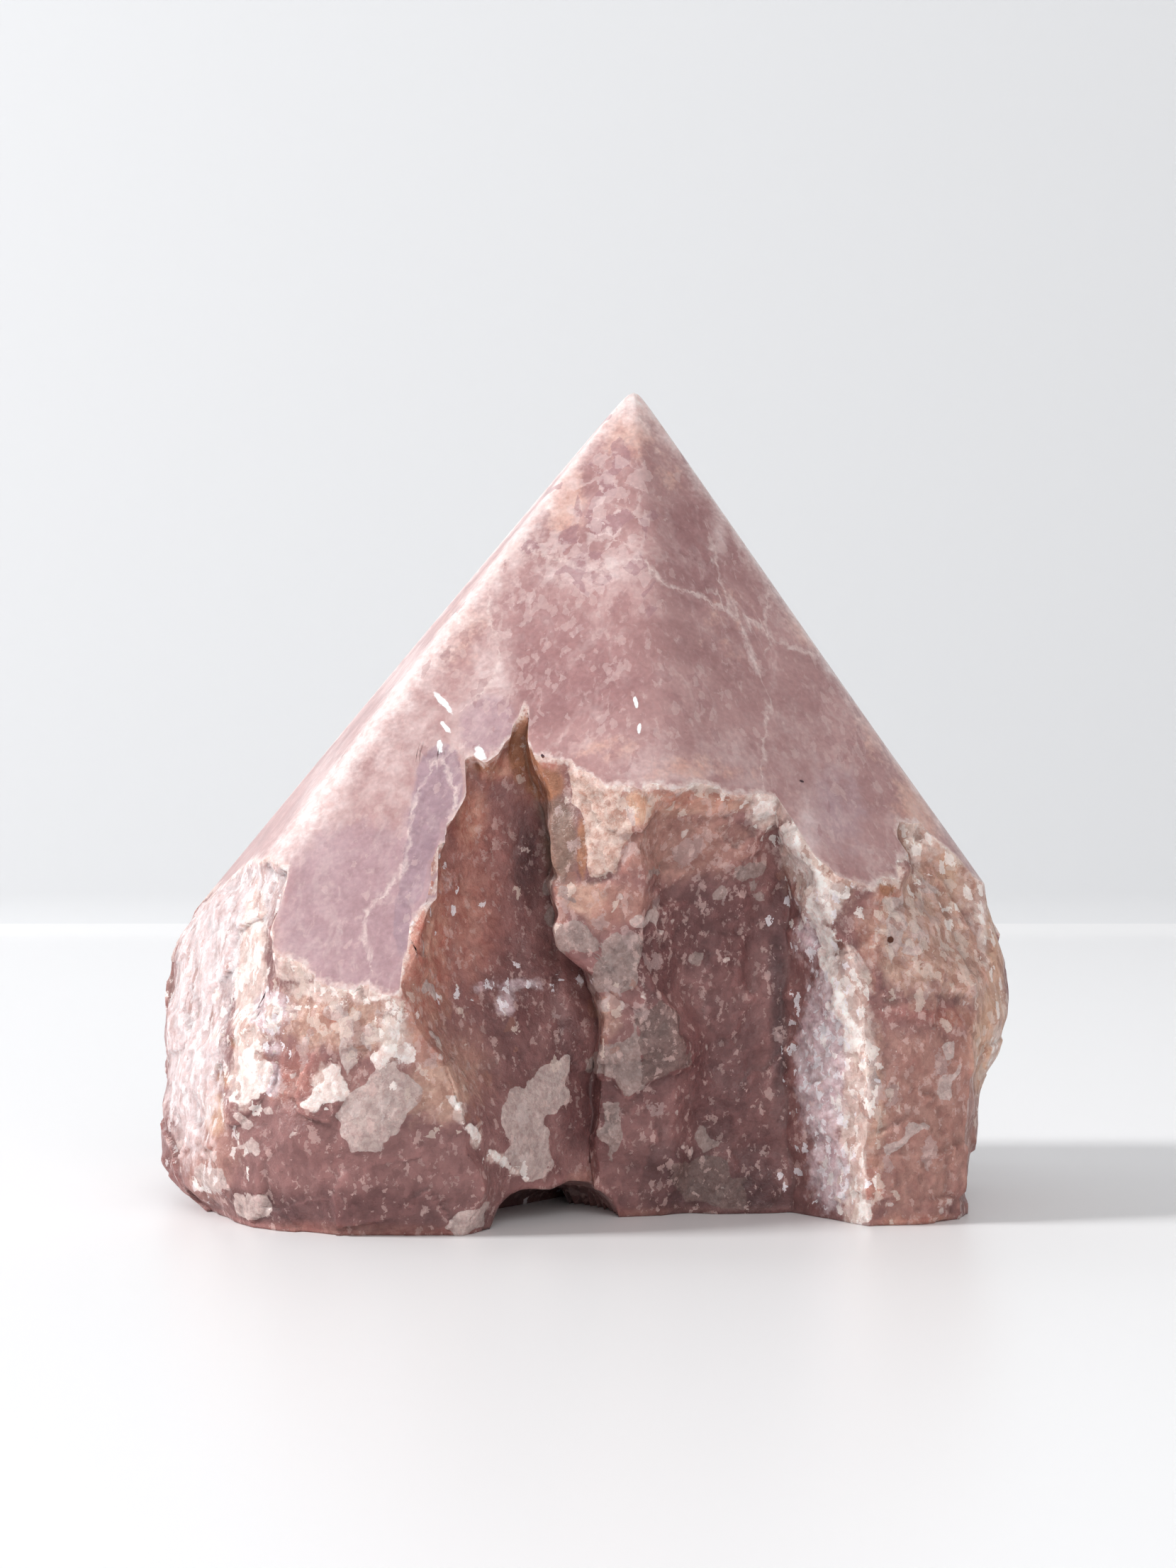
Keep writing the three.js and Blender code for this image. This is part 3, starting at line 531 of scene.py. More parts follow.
# pale veins in the polished faces, as x, z points
veins = [
    [(-5, 60.5), (-3.5, 59.5), (-1.5, 59), (0.5, 58), (2, 58), (4, 59), (5.5, 59)],
    [(6.5, 58), (8, 56.5), (10, 56), (11, 55.5), (14.5, 54), (16, 53.5), (17.2, 52.5)],
    [(12, 62), (12.5, 60), (13, 57), (14, 55), (15, 53), (15.5, 50.5), (16.5, 48)],
    [(17, 45.5), (16.5, 42.5), (16, 39.5), (16.5, 36.5)],
    [(17.5, 56.5), (17, 53), (17.5, 51.5), (20, 51), (22, 50.5), (25.5, 50.3)],
    [(-5.5, 61), (-8.5, 57.5), (-8.5, 54), (-7.5, 51), (-7.5, 48.5), (-8.5, 47), (-10, 45.5)],
    [(-12.3, 40.4), (-11.6, 39), (-10.9, 37.6), (-10.8, 36.5), (-11.2, 35.4)],
    [(-10.6, 41.8), (-12.3, 40.9), (-13.6, 39.4), (-14.4, 37.2), (-15, 34.4), (-14.8, 33), (-15.6, 30.6),
     (-17, 28.5), (-18.5, 27.4), (-18.6, 25.4), (-18, 23.4)],
]

# relief finer than the chips, in mm
fineRelief = {
    "lumps": [(2.6, 0.1), (1.3, 0.08), (0.75, 0.07)],    # size, depth
    "smallChips": (2.1, 0.12, 0.06),                     # size, depth, tilt
    "crystals": (1.0, 0.3, 0.25),
    "plateHeight": 0.12, "plateStep": (-0.15, 0.25),     # where a plate's border rises
    "proudHeight": 0.3, "proudStep": (-0.1, 0.2), "proudRagged": (1.4, 0.4),
    "grooves": (0.9, 0.08, 0.16),                        # size, depth, squeeze along z
    "fade": 0.7,                                         # height over which it grows below the polish
    "foot": 1.2,                                         # and above the base
    "archRoof": (1.7, 0.55),                             # size, depth
    "leastShare": 0.25, "leastLumps": 0.4,               # what the smooth and the quiet sides keep
}
# side lines where it is quieter
quietLines = {"left rear": 0.5, "left flank": 0.35, "left shoulder": 0.35, "left corner": 0.45,
              "edge of the left polish": 0.5, "front of the left foot": 0.55, "right corner": 0.6,
              "right flank": 0.45, "right rear": 0.6}


def smoothStep(low, high, v):
    t = np.clip((v - low) / (high - low), 0, 1)
    return t * t * (3 - 2 * t)


def toSegment(x, z, a, b):
    # distance to the straight piece from a to b
    (ax, az), (bx, bz) = a, b
    t = np.clip(((x - ax) * (bx - ax) + (z - az) * (bz - az)) / ((bx - ax) ** 2 + (bz - az) ** 2), 0, 1)
    return np.hypot(x - ax - t * (bx - ax), z - az - t * (bz - az))


def insideDistance(x, z, outline):
    # distance to an outline in mm, positive inside it
    nearest, inside = np.full(x.shape, np.inf), np.zeros(x.shape, bool)
    for a, b in zip(outline, outline[1:] + outline[:1]):
        nearest = np.minimum(nearest, toSegment(x, z, a, b))
        (ax, az), (bx, bz) = a, b
        if az != bz:
            inside ^= ((az > z) != (bz > z)) & (x < (bx - ax) * (z - az) / (bz - az) + ax)
    return np.where(inside, nearest, -nearest)


def tintField(x, z, spots):
    # the strongest of a few soft ovals
    field = np.zeros(x.shape)
    for cx, cz, wide, high, strength in spots:
        field = np.maximum(field, strength * np.exp(-0.8 * (((x - cx) / wide) ** 2 + ((z - cz) / high) ** 2)))
    return field


def veinDistance(x, z):
    # distance to the nearest piece of any vein, and the same distance signed by the side of it
    nearest, side = np.full(x.shape, 9.0), np.full(x.shape, 9.0)
    for path in veins:
        for a, b in zip(path, path[1:]):
            far = toSegment(x, z, a, b)
            across = (x - a[0]) * (b[1] - a[1]) - (z - a[1]) * (b[0] - a[0])
            side = np.where(far < nearest, np.where(across < 0, -far, far), side)
            nearest = np.minimum(nearest, far)
    return nearest, side


# how noise breaks up the marks; sizes, depths and distances in mm
markForm = {
    "frontFades": (4, -4),                 # y where the front's marks start, and where they are full
    "blots": (11, 4, 0.5),                 # behind, tints are blots: two sizes, and the share of the second
    "blotEdge": (0.25, 1), "blotStrength": 0.62,
    "backPlates": (8, 4, -2.4),            # size, depth, shift
    "fewBehind": 1.5,                      # how much smaller the rarer plates are there
    "ragged": [(1.5, 0.35), (0.8, 0.35)],  # size and depth, on the borders of plates
    "patchy": [(1.9, 1.5), (0.9, 0.9)],    # the same, for small patches of crust
    "patchyShift": (-1.6, 1.5),            # their shift, and how far the mottle raises them
}


def stoneMarks(p):
    # the tints by ovals in front; behind, the same tints by large soft noise
    s = markForm
    x, z = p[..., 0], p[..., 2]
    front = smoothStep(*s["frontFades"], p[..., 1])
    inFront = front > 0.5
    large, small, share = s["blots"]
    marks = {}
    for salt, (name, ovals) in enumerate(tintOvals.items()):
        blots = lumpNoise(p, large, 31 + salt) + share * lumpNoise(p, small, 131 + salt)
        behind = s["blotStrength"] * smoothStep(*s["blotEdge"], blots)
        marks[name] = tintField(x, z, ovals) * front + behind * (1 - front)
    ragged, patchy = (sum(depth * lumpNoise(p, size, salt + k) for k, (size, depth) in enumerate(s[kind]))
                      for kind, salt in (("ragged", 52), ("patchy", 54)))
    patchy = patchy + s["patchyShift"][0] + s["patchyShift"][1] * marks["mottle"]
    size, depth, shift = s["backPlates"]
    behind = depth * lumpNoise(p, size, 51) + shift
    for name, outlines in crustPlates.items():
        inside = np.maximum.reduce([insideDistance(x, z, outline) for outline in outlines])
        inside = np.where(inFront, np.maximum(inside, -3), behind) + ragged
        inside = np.maximum(inside, patchy) if name == "crust" else inside - s["fewBehind"] * (1 - front)
        marks[name] = np.clip(inside, -2, 2)
    proud = np.maximum.reduce([insideDistance(x, z, outline) for outline in proudParts])
    marks["proud"] = np.where(inFront, proud, -3)
    near, marks["veinSide"] = veinDistance(x, z)
    marks["vein"] = near + 6 * (1 - front)     # none behind
    return marks


def brokenRelief(line, part, below, p, marks):
    # chips and lumps, quieter on some sides, with crystals, plates and grooves where the marks put them
    s = fineRelief
    grow = smoothStep(0.05, s["fade"], below) * smoothStep(0, s["foot"], p[..., 2])
    share = s["leastShare"] + (1 - s["leastShare"]) * betweenLines([v[2] for v in sideLines], line, part)
    calm = betweenLines([quietLines.get(v[0], 1.0) for v in sideLines], line, part)
    x, y, z = p[..., 0], p[..., 1], p[..., 2]
    relief = chipDepth(x, y, z, *s["smallChips"]) * calm
    kept = s["leastLumps"] + (1 - s["leastLumps"]) * calm
    for salt, (size, depth) in enumerate(s["lumps"]):
        relief = relief + depth * lumpNoise(p, size, 11 + salt) * kept
    relief = relief * share
    size, depth, squeeze = s["grooves"]
    relief = relief + depth * marks["flank"] * lumpNoise(p * np.array([1, 1, squeeze]), size, 61)
    relief = relief + chipDepth(x, y, z, *s["crystals"]) * np.clip(marks["druse"], 0, 1)
    plates = np.maximum.reduce([marks[name] for name in crustPlates])
    relief = relief + s["plateHeight"] * smoothStep(*s["plateStep"], plates)
    size, depth = s["proudRagged"]
    proud = marks["proud"] + depth * lumpNoise(p, size, 62)
    relief = relief + s["proudHeight"] * smoothStep(*s["proudStep"], proud)
    return relief * grow


def surfaceRows():
    # rows up the broken sides, each column in equal steps, and on up the polished point
    line, part = shareColumns()
    tops = polishHeights(line, part)
    crossing = brokenPoints(line, part, tops[None])[0]
    angle, reach = fromCore(crossing)
    angle = np.unwrap(angle)
    steps = np.array(stoneForm["rimSteps"]) + [stoneForm["middle"][0], 0]
    first, last = (np.argmin(np.hypot(crossing[:, 0] - x, tops - z) + np.maximum(crossing[:, 1], 0))
                   for x, z in (steps[0], steps[-1]))
    along = np.concatenate([[0], np.cumsum(np.hypot(*np.diff(steps, axis=0).T))])
    rim = np.linspace(0, along[-1], last - first + 1)
    tops[first:last + 1] = np.interp(rim, along, steps[:, 1])
    rimAngle = angleInFront(np.interp(rim, along, steps[:, 0]), tops[first:last + 1])
    angle[first:last + 1] = rimAngle + 2 * math.pi * np.round((angle[first] - rimAngle[0]) / (2 * math.pi))
    # the edge of the polish strays up and down and from side to side, and never doubles back
    for salt, (size, depth) in enumerate(stoneForm["edgeWobble"]):
        tops = tops + stoneForm["edgeUp"] * depth * lumpNoise(crossing, size, 24 + salt)
        angle = angle + depth * lumpNoise(crossing, size, 26 + salt) / reach
    turn = surfaceGrid["leastTurn"] * np.arange(len(line))
    angle = np.maximum.accumulate(angle - turn) + turn
    foot = brokenPoints(line, part, np.zeros((1, len(line))))[0]
    low = archHeight(foot[:, 0], foot[:, 1])
    share = np.linspace(0, 1, surfaceGrid["brokenRows"] + 1)[:, None]
    sides = brokenPoints(line, part, low + (tops - low) * share)
    sideAngle, sideReach = fromCore(sides)
    onPoint, limit = polishedPoints(sideAngle, sides[..., 2])
    sides = np.where((sideReach > limit)[..., None], onPoint, sides)
    # the broken surface leans over to meet that edge
    shift = polishedPoints(angle, tops)[0] - sides[-1]
    lean = np.exp(-(tops - sides[..., 2]) / stoneForm["leanHeight"])
    sides = (sides + shift * lean[..., None])[:-1]
    rise = np.linspace(0, 1, surfaceGrid["polishedRows"] + 1)[:-1, None]
    rise = rise - surfaceGrid["rowEase"] * np.sin(2 * math.pi * rise) / (2 * math.pi)
    tipZ = stoneForm["tip"][2]
    polished = polishedPoints(angle + rise * 0, tops + (tipZ - tops) * rise)[0]
    return line, part, tops, sides, polished


def gridNormals(rows):
    # across the columns (closed) and up the rows, crossed
    across = np.roll(rows, -1, 1) - np.roll(rows, 1, 1)
    up = np.gradient(rows, axis=0)
    n = np.cross(across, up)
    return n / np.maximum(np.linalg.norm(n, axis=-1, keepdims=True), 1e-9)


def ridgeDistance(p):
    # how far inside the second nearest facet plane, in mm: nought on the ridges of the point
    drop = np.maximum(stoneForm["tip"][2] - p[..., 2], 0)
    depths = [depth for _, _, depth in facetDepths(p[..., 0], p[..., 1], drop)]
    return np.sort(np.stack(depths), 0)[1]


def bulge(rows, step):
    # how far each point stands out from its neighbours a few steps away, in mm
    around = (np.roll(rows, step, 1) + np.roll(rows, -step, 1)
              + rows[np.clip(np.arange(len(rows)) + step, 0, len(rows) - 1)]
              + rows[np.clip(np.arange(len(rows)) - step, 0, len(rows) - 1)]) / 4
    return ((rows - around) * gridNormals(rows)).sum(-1)


# a painted highlight and glow along the ridges of the point, and a pale band along its edge, in mm
bandForm = {
    "ridgeWidth": 2.4, "middleWidth": 6, "middleLess": 0.9, "middleFades": (-0.5, -5),
    "behindLess": 0.35, "behindFades": (0, 5), "lipWidth": 0.9,
}


def stoneSurface():
    # rows of points from the base up, and the marks on them
    s = bandForm
    line, part, tops, sides, polished = surfaceRows()
    centre = np.array(stoneForm["baseCentre"])
    reach = np.linspace(0.5, 1, surfaceGrid["baseRings"] + 1)[:-1, None, None]
    base = centre + (sides[0, :, :2] - centre) * reach
    base = np.concatenate([base, archHeight(base[..., 0], base[..., 1])[..., None]], -1)
    rows = np.concatenate([base, sides, polished])
    firstSide, firstPolished = len(base), len(base) + len(sides)
    place = rows - np.array([*stoneForm["middle"], 0.0])
    marks = stoneMarks(place)
    broken = slice(firstSide, firstPolished)
    relief = np.zeros(rows.shape[:2])
    there = {name: mark[broken] for name, mark in marks.items()}
    relief[broken] = brokenRelief(line, part, tops - sides[..., 2], place[broken], there)
    del marks["proud"]                     # only the relief needs it
    place = place + gridNormals(rows) * relief[..., None]
    tipX, tipY, _ = stoneForm["tip"]
    middle = np.exp(-((rows[..., 0] - tipX) / s["middleWidth"]) ** 2)
    middle = middle * smoothStep(*s["middleFades"], rows[..., 1] - tipY)
    # the ridges get a painted highlight and glow, weaker in the middle in front and behind
    marks["rim"] = (np.exp(-ridgeDistance(rows) / s["ridgeWidth"]) * (1 - s["middleLess"] * middle)
                    * (1 - s["behindLess"] * smoothStep(*s["behindFades"], place[..., 1])))
    marks["lip"] = np.exp(-np.abs(tops - rows[..., 2]) / s["lipWidth"])
    # how far each point stands out: edges that stand out get paler, creases get painted shade
    marks["edge"] = bulge(place, 2)
    return place, firstPolished, marks


def buildStone():
    rows, firstPolished, marks = stoneSurface()
    high, wide = rows.shape[:2]
    middle = np.array([*stoneForm["middle"], 0.0])
    poles = np.array([[*stoneForm["baseCentre"], 0.0], stoneForm["tip"]]) - middle
    points = np.concatenate([rows.reshape(-1, 3), poles])
    points[:, 2] = np.maximum(points[:, 2], 0)
    lowest, highest = np.array(cadBox[0]) / mm, np.array(cadBox[1]) / mm
    points = np.clip(points, lowest, highest)
    i = np.arange(wide)
    j = (i + 1) % wide
    low = np.arange(high - 1)[:, None] * wide
    quads = np.stack([low + i, low + j, low + wide + j, low + wide + i], -1).reshape(-1, 4)
    bottomFan = np.stack([np.full(wide, high * wide), j, i], -1)
    topFan = np.stack([(high - 1) * wide + i, (high - 1) * wide + j, np.full(wide, high * wide + 1)], -1)
    mesh = bpy.data.meshes.new("pinkOpalStone")
    corners = np.concatenate([quads.ravel(), bottomFan.ravel(), topFan.ravel()]).astype(np.int32)
    sizes = np.concatenate([np.full(len(quads), 4), np.full(2 * wide, 3)]).astype(np.int32)
    starts = np.concatenate([[0], np.cumsum(sizes)[:-1]]).astype(np.int32)
    mesh.vertices.add(len(points))
    mesh.vertices.foreach_set("co", (points * mm).astype(np.float32).ravel())
    mesh.loops.add(len(corners))
    mesh.loops.foreach_set("vertex_index", corners)
    mesh.polygons.add(len(sizes))
    mesh.polygons.foreach_set("loop_start", starts)
    mesh.update(calc_edges=True)
    polishedFace = np.zeros(len(sizes), np.int32)
    polishedFace[firstPolished * wide:len(quads)] = 1
    polishedFace[-wide:] = 1
    mesh.polygons.foreach_set("material_index", polishedFace)
    mesh.polygons.foreach_set("use_smooth", np.ones(len(sizes), bool))
    # the edge of the polish stays crisp
    pairs = np.zeros(len(mesh.edges) * 2, np.int32)
    mesh.edges.foreach_get("vertices", pairs)
    onEdge = (pairs >= firstPolished * wide) & (pairs < (firstPolished + 1) * wide)
    mesh.edges.foreach_set("use_edge_sharp", onEdge.reshape(-1, 2).all(1))
    for name, field in marks.items():
        values = np.concatenate([field.ravel(), field[0, :1], field[-1, :1]]).astype(np.float32)
        mesh.attributes.new(name, "FLOAT", "POINT").data.foreach_set("value", values)
    stone = bpy.data.objects.new("pinkOpalStone", mesh)
    bpy.context.scene.collection.objects.link(stone)
    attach(stone, "root")
    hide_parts("pink_opal_stone")
    print("stone built:", len(points), "points,", int((sizes - 2).sum()), "triangles")
    return stone


stone = buildStone()


def srgb(hexColour):
    # an sRGB hex colour turned linear
    parts = [int(hexColour[k:k + 2], 16) / 255 for k in (1, 3, 5)]
    return tuple(v / 12.92 if v <= 0.04045 else ((v + 0.055) / 1.055) ** 2.4 for v in parts) + (1.0,)


def addNode(tree, kind, sockets, out=0, **settings):
    # one node: its settings, and its sockets by name or in order, as values or as other nodes' outputs
    node = tree.nodes.new("ShaderNode" + kind)
    for name, value in settings.items():
        setattr(node, name, value)
    named = sockets if isinstance(sockets, dict) else dict(enumerate(sockets))
    for name, value in named.items():
        if isinstance(value, bpy.types.NodeSocket):
            tree.links.new(value, node.inputs[name])
        else:
            node.inputs[name].default_value = value
    return node.outputs[out]


def perGrain(size):
    # a pattern's scale for grains of a size in mm
    return 1 / (size * mm)


def grain(place, size, detail, roughness=0.5, distortion=0.0):
    # a noise's sockets for grains of a size in mm
    return {"Vector": place, "Scale": perGrain(size), "Detail": detail, "Roughness": roughness,
            "Distortion": distortion}


def startOpal(name, ground):
    # the ground goes between two colours by cloudy noise
    size, roughness, distortion, low, high, dark, light = ground
    material = bpy.data.materials.new(name)
    material.use_nodes = True
    tree = material.node_tree
    place = addNode(tree, "TexCoord", {}, "Object")
    cloud = addNode(tree, "TexNoise", grain(place, size, 5, roughness, distortion))
    spread = addNode(tree, "MapRange", [cloud, low, high])
    colour = addNode(tree, "Mix", {0: spread, 6: srgb(dark), 7: srgb(light)}, 2, data_type="RGBA")
    return material, tree, place, cloud, spread, colour


def layOver(tree, colour, *coats):
    # each coat of colour covers the one below by its own mask
    for cover, hexColour in coats:
        colour = addNode(tree, "Mix", {0: cover, 6: colour, 7: srgb(hexColour)}, 2, data_type="RGBA")
    return colour


def addTints(tree, place, colour, layers):
    # each tint covers the one below where its mark, made ragged by noise, passes its edge
    for name, dark, light, size, ragged, low, high, mottle, most in layers:
        mark = addNode(tree, "Attribute", {}, "Fac", attribute_name=name)
        noise = addNode(tree, "TexNoise", grain(place, size, 3, 0.65))
        shifted = addNode(tree, "Math", [noise, ragged, mark], operation="MULTIPLY_ADD")
        cover = addNode(tree, "MapRange", [shifted, low + ragged / 2, high + ragged / 2, 0, most],
                        interpolation_type="SMOOTHSTEP")
        blotches = addNode(tree, "TexNoise", grain(place, mottle, 4, 0.7, 0.4))
        spread = addNode(tree, "MapRange", [blotches, 0.36, 0.64])
        tint = addNode(tree, "Mix", {0: spread, 6: srgb(dark), 7: srgb(light)}, 2, data_type="RGBA")
        colour = addNode(tree, "Mix", {0: cover, 6: colour, 7: tint}, 2, data_type="RGBA")
    return colour


def bendPlace(tree, place, noise, bend):
    # the place pushed about by coloured noise, up to a bend in mm on each axis
    push = addNode(tree, "TexNoise", grain(place, *noise), "Color")
    return addNode(tree, "VectorMath", [push, tuple(v * mm for v in bend), place], operation="MULTIPLY_ADD")


def addFlecks(tree, place, spread, colour, flecks):
    # a cell is a fleck where its random number, raised by share x mark, passes 1 - 2 x always x spread
    for name, size, tall, always, share, hexColour, most in flecks:
        drawn = addNode(tree, "Mapping", {"Vector": place, "Scale": (1, 1, 1 / tall)})
        cell = addNode(tree, "TexVoronoi", {"Vector": drawn, "Scale": perGrain(size)}, "Color")
        pick = addNode(tree, "SeparateColor", [cell])
        mark = addNode(tree, "Attribute", {}, "Fac", attribute_name=name)
        raised = addNode(tree, "Math", [mark, share, pick], operation="MULTIPLY_ADD")
        bar = addNode(tree, "MapRange", [spread, 0, 1, 1, 1 - 2 * always])
        chosen = addNode(tree, "Math", [raised, bar], operation="GREATER_THAN")
        cover = addNode(tree, "Math", [chosen, most], operation="MULTIPLY")
        colour = layOver(tree, colour, (cover, hexColour))
    return colour


def addSpots(tree, place, noise, colour, spots, hexColour):
    # a spot is where the place, turned and divided by its half sizes, is near 1, give or take the noise
    s = spotForm
    nearest = s["far"]
    for x, z, halfLength, halfWidth, turn in spots:
        inSpot = addNode(tree, "Mapping", {
            "Vector": place, "Location": (x * mm, s["y"] * mm, z * mm),
            "Rotation": (0, math.radians(turn), 0),
            "Scale": (halfLength * mm, s["halfDepth"] * mm, halfWidth * mm)}, vector_type="TEXTURE")
        reach = addNode(tree, "VectorMath", [inSpot], "Value", operation="LENGTH")
        nearest = addNode(tree, "Math", [reach, nearest], operation="MINIMUM")
    nearest = addNode(tree, "Math", [noise, s["ragged"], nearest], operation="MULTIPLY_ADD")
    cover = addNode(tree, "MapRange", [nearest, *s["edge"]])
    return layOver(tree, colour, (cover, hexColour))


def finishOpal(tree, colour, shade, gloss, height, s):
    # the colour times its shade, the sheen, light that sinks in, and fine grit as a bump
    shader = tree.nodes["Principled BSDF"]
    grey = addNode(tree, "CombineColor", [shade, shade, shade])
    colour = addNode(tree, "Mix", {0: 1, 6: colour, 7: grey}, 2, data_type="RGBA", blend_type="MULTIPLY")
    strength, distance = s["bump"]
    bump = addNode(tree, "Bump", {"Height": height, "Strength": strength, "Distance": distance * mm})
    for name, socket in (("Base Color", colour), ("Roughness", gloss), ("Normal", bump)):
        tree.links.new(socket, shader.inputs[name])
    weight, radius, depth = s["sinking"]
    shader.inputs["IOR"].default_value = s["ior"]
    shader.inputs["Subsurface Weight"].default_value = weight
    shader.inputs["Subsurface Radius"].default_value = radius
    shader.inputs["Subsurface Scale"].default_value = depth * mm


# in both opals, noises are size in mm, detail, roughness, distortion, and levels are the sockets of a Map
# Range in order: from low, high to low, high
# tints: mark, two colours, grain and depth of the ragged edge, low and high of the mark there, mottle, cover
# flecks: mark, size, how tall, the share that is always there and that is added by the mark, colour, cover

# pink opal ground and polished on a wheel: satin smooth, milky, with clouds, pale streaks and healed cracks
polishedOpal = {
    # noise size, roughness, distortion, its low and high, and the two colours
    "ground": (5, 0.6, 0.5, 0.34, 0.66, "#aa8180", "#c29b99"),
    "tints": [
        ("deep", "#976d6e", "#ac8181", 3, 0.9, 0.1, 0.9, 1.6, 0.85),
        ("pale", "#cfb0ae", "#e8d3d1", 2.2, 0.9, 0.15, 0.9, 1.2, 0.85),
        ("lilac", "#aa8a90", "#bd9da3", 2.2, 0.4, 0.3, 0.6, 2, 0.85),
        ("facet", "#9c8089", "#b2959d", 1.6, 0.4, 0.42, 0.52, 1.6, 0.9),
        # peach, and a painted glow at the thin edges
        ("peachAndEdgeGlow", "#d4a497", "#e6c1b3", 1.6, 0.9, 0.35, 0.75, 1.5, 0.8),
        # painted highlight and glow along the ridges of the point
        ("rim", "#e4c8c4", "#f8ecea", 1.6, 0.9, 0.25, 1, 1.2, 0.85),
        ("lip", "#d3b2ac", "#ecdcd8", 1, 1.3, 0.5, 0.9, 0.6, 0.8),
    ],
    # crisp shards, as the flecks of the broken opal, drawn out upwards
    "flecks": [
        ("cells", 2, 1.2, 0, 0.42, "#a47c82", 0.55),
        ("cells", 1.1, 1.2, 0, 0.26, "#dfc6c4", 0.4),
        ("drips", 0.9, 2.6, 0, 0.28, "#a3797a", 0.4),
        ("drips", 0.6, 3, 0.02, 0.22, "#d9bdba", 0.36),
    ],
    "drawn": 0.35,
    "dashes": {"noise": (0.8, 4, 0.7, 0.6), "levels": (0.52, 0.72, 0, 0.35), "colour": "#dfc4c1"},
    "wisps": {"noise": (4, 4, 0.55, 0.3), "levels": (0.05, 0, 0, 0.24), "colour": "#e4cdca"},
    "bent": (1.1, 4, 0.65), "bend": (0.9, 0.9, 1.6),
    "openings": (1.5, 3, 0.6),
    # healed cracks round the cells, open in places
    "webs": {"mark": "cells", "size": 2, "tall": 1.2, "width": (0.48, 0.62, 0.002, 0.3), "cover": 0.7,
             "colour": "#e4cdca"},
    # the long veins sway a little, and are broken up along their length
    "veins": {"sway": (1.4, 4, 0.65), "swing": 1.6, "width": (0.4, 0.62, 0.14, 0.6), "core": (0.02, 0, 0.7),
              "near": (1.3, 0.9), "patches": (0.4, 0.6, 0.3), "colour": "#ead5d0"},
    # the painted glints are white; the dark specks are mostly painted shade in small pits
    "spotNoise": (0.6, 3), "facets": "#ffffff", "specks": "#4a3038",
    "grit": (0.4, 2), "shade": (0.3, 0.7, 0.92, 1.06), "gloss": (0.3, 0.7, 0.28, 0.4),
    # how much light sinks in, how far by colour, and over how many mm; a bump's strength, and its mm
    "ior": 1.45, "sinking": (0.3, (1, 0.5, 0.42), 4), "bump": (0.12, 0.05),
}


def addWebs(tree, place, openings, colour, s):
    # the walls between cells, wider where the noise opens them
    tall = addNode(tree, "Mapping", {"Vector": place, "Scale": (1, 1, 1 / s["tall"])})
    toWall = addNode(tree, "TexVoronoi", {"Vector": tall, "Scale": perGrain(s["size"])},
                     feature="DISTANCE_TO_EDGE")
    width = addNode(tree, "MapRange", [openings, *s["width"]])
    wall = addNode(tree, "MapRange", [toWall, width, 0, 0, s["cover"]], interpolation_type="SMOOTHSTEP")
    mark = addNode(tree, "Attribute", {}, "Fac", attribute_name=s["mark"])
    cover = addNode(tree, "Math", [wall, mark], operation="MULTIPLY", use_clamp=True)
    return layOver(tree, colour, (cover, s["colour"]))


def addVeins(tree, place, openings, dashNoise, colour, s):
    # a vein is where its signed distance, shifted by noise, is less than its width there
    near = addNode(tree, "Attribute", {}, "Fac", attribute_name="vein")
    side = addNode(tree, "Attribute", {}, "Fac", attribute_name="veinSide")
    sway = addNode(tree, "TexNoise", grain(place, *s["sway"]))
    swayed = addNode(tree, "Math", [sway, s["swing"], side], operation="MULTIPLY_ADD")
    offLine = addNode(tree, "Math", [swayed, s["swing"] / 2], operation="SUBTRACT")
    offLine = addNode(tree, "Math", [offLine], operation="ABSOLUTE")
    width = addNode(tree, "MapRange", [openings, *s["width"]])
    cover = addNode(tree, "MapRange", [offLine, width, *s["core"]], interpolation_type="SMOOTHSTEP")
    nearLine = addNode(tree, "MapRange", [near, *s["near"]])
    patches = addNode(tree, "MapRange", [dashNoise, *s["patches"]])
    for part in (nearLine, patches):
        cover = addNode(tree, "Math", [cover, part], operation="MULTIPLY")
    return layOver(tree, colour, (cover, s["colour"]))


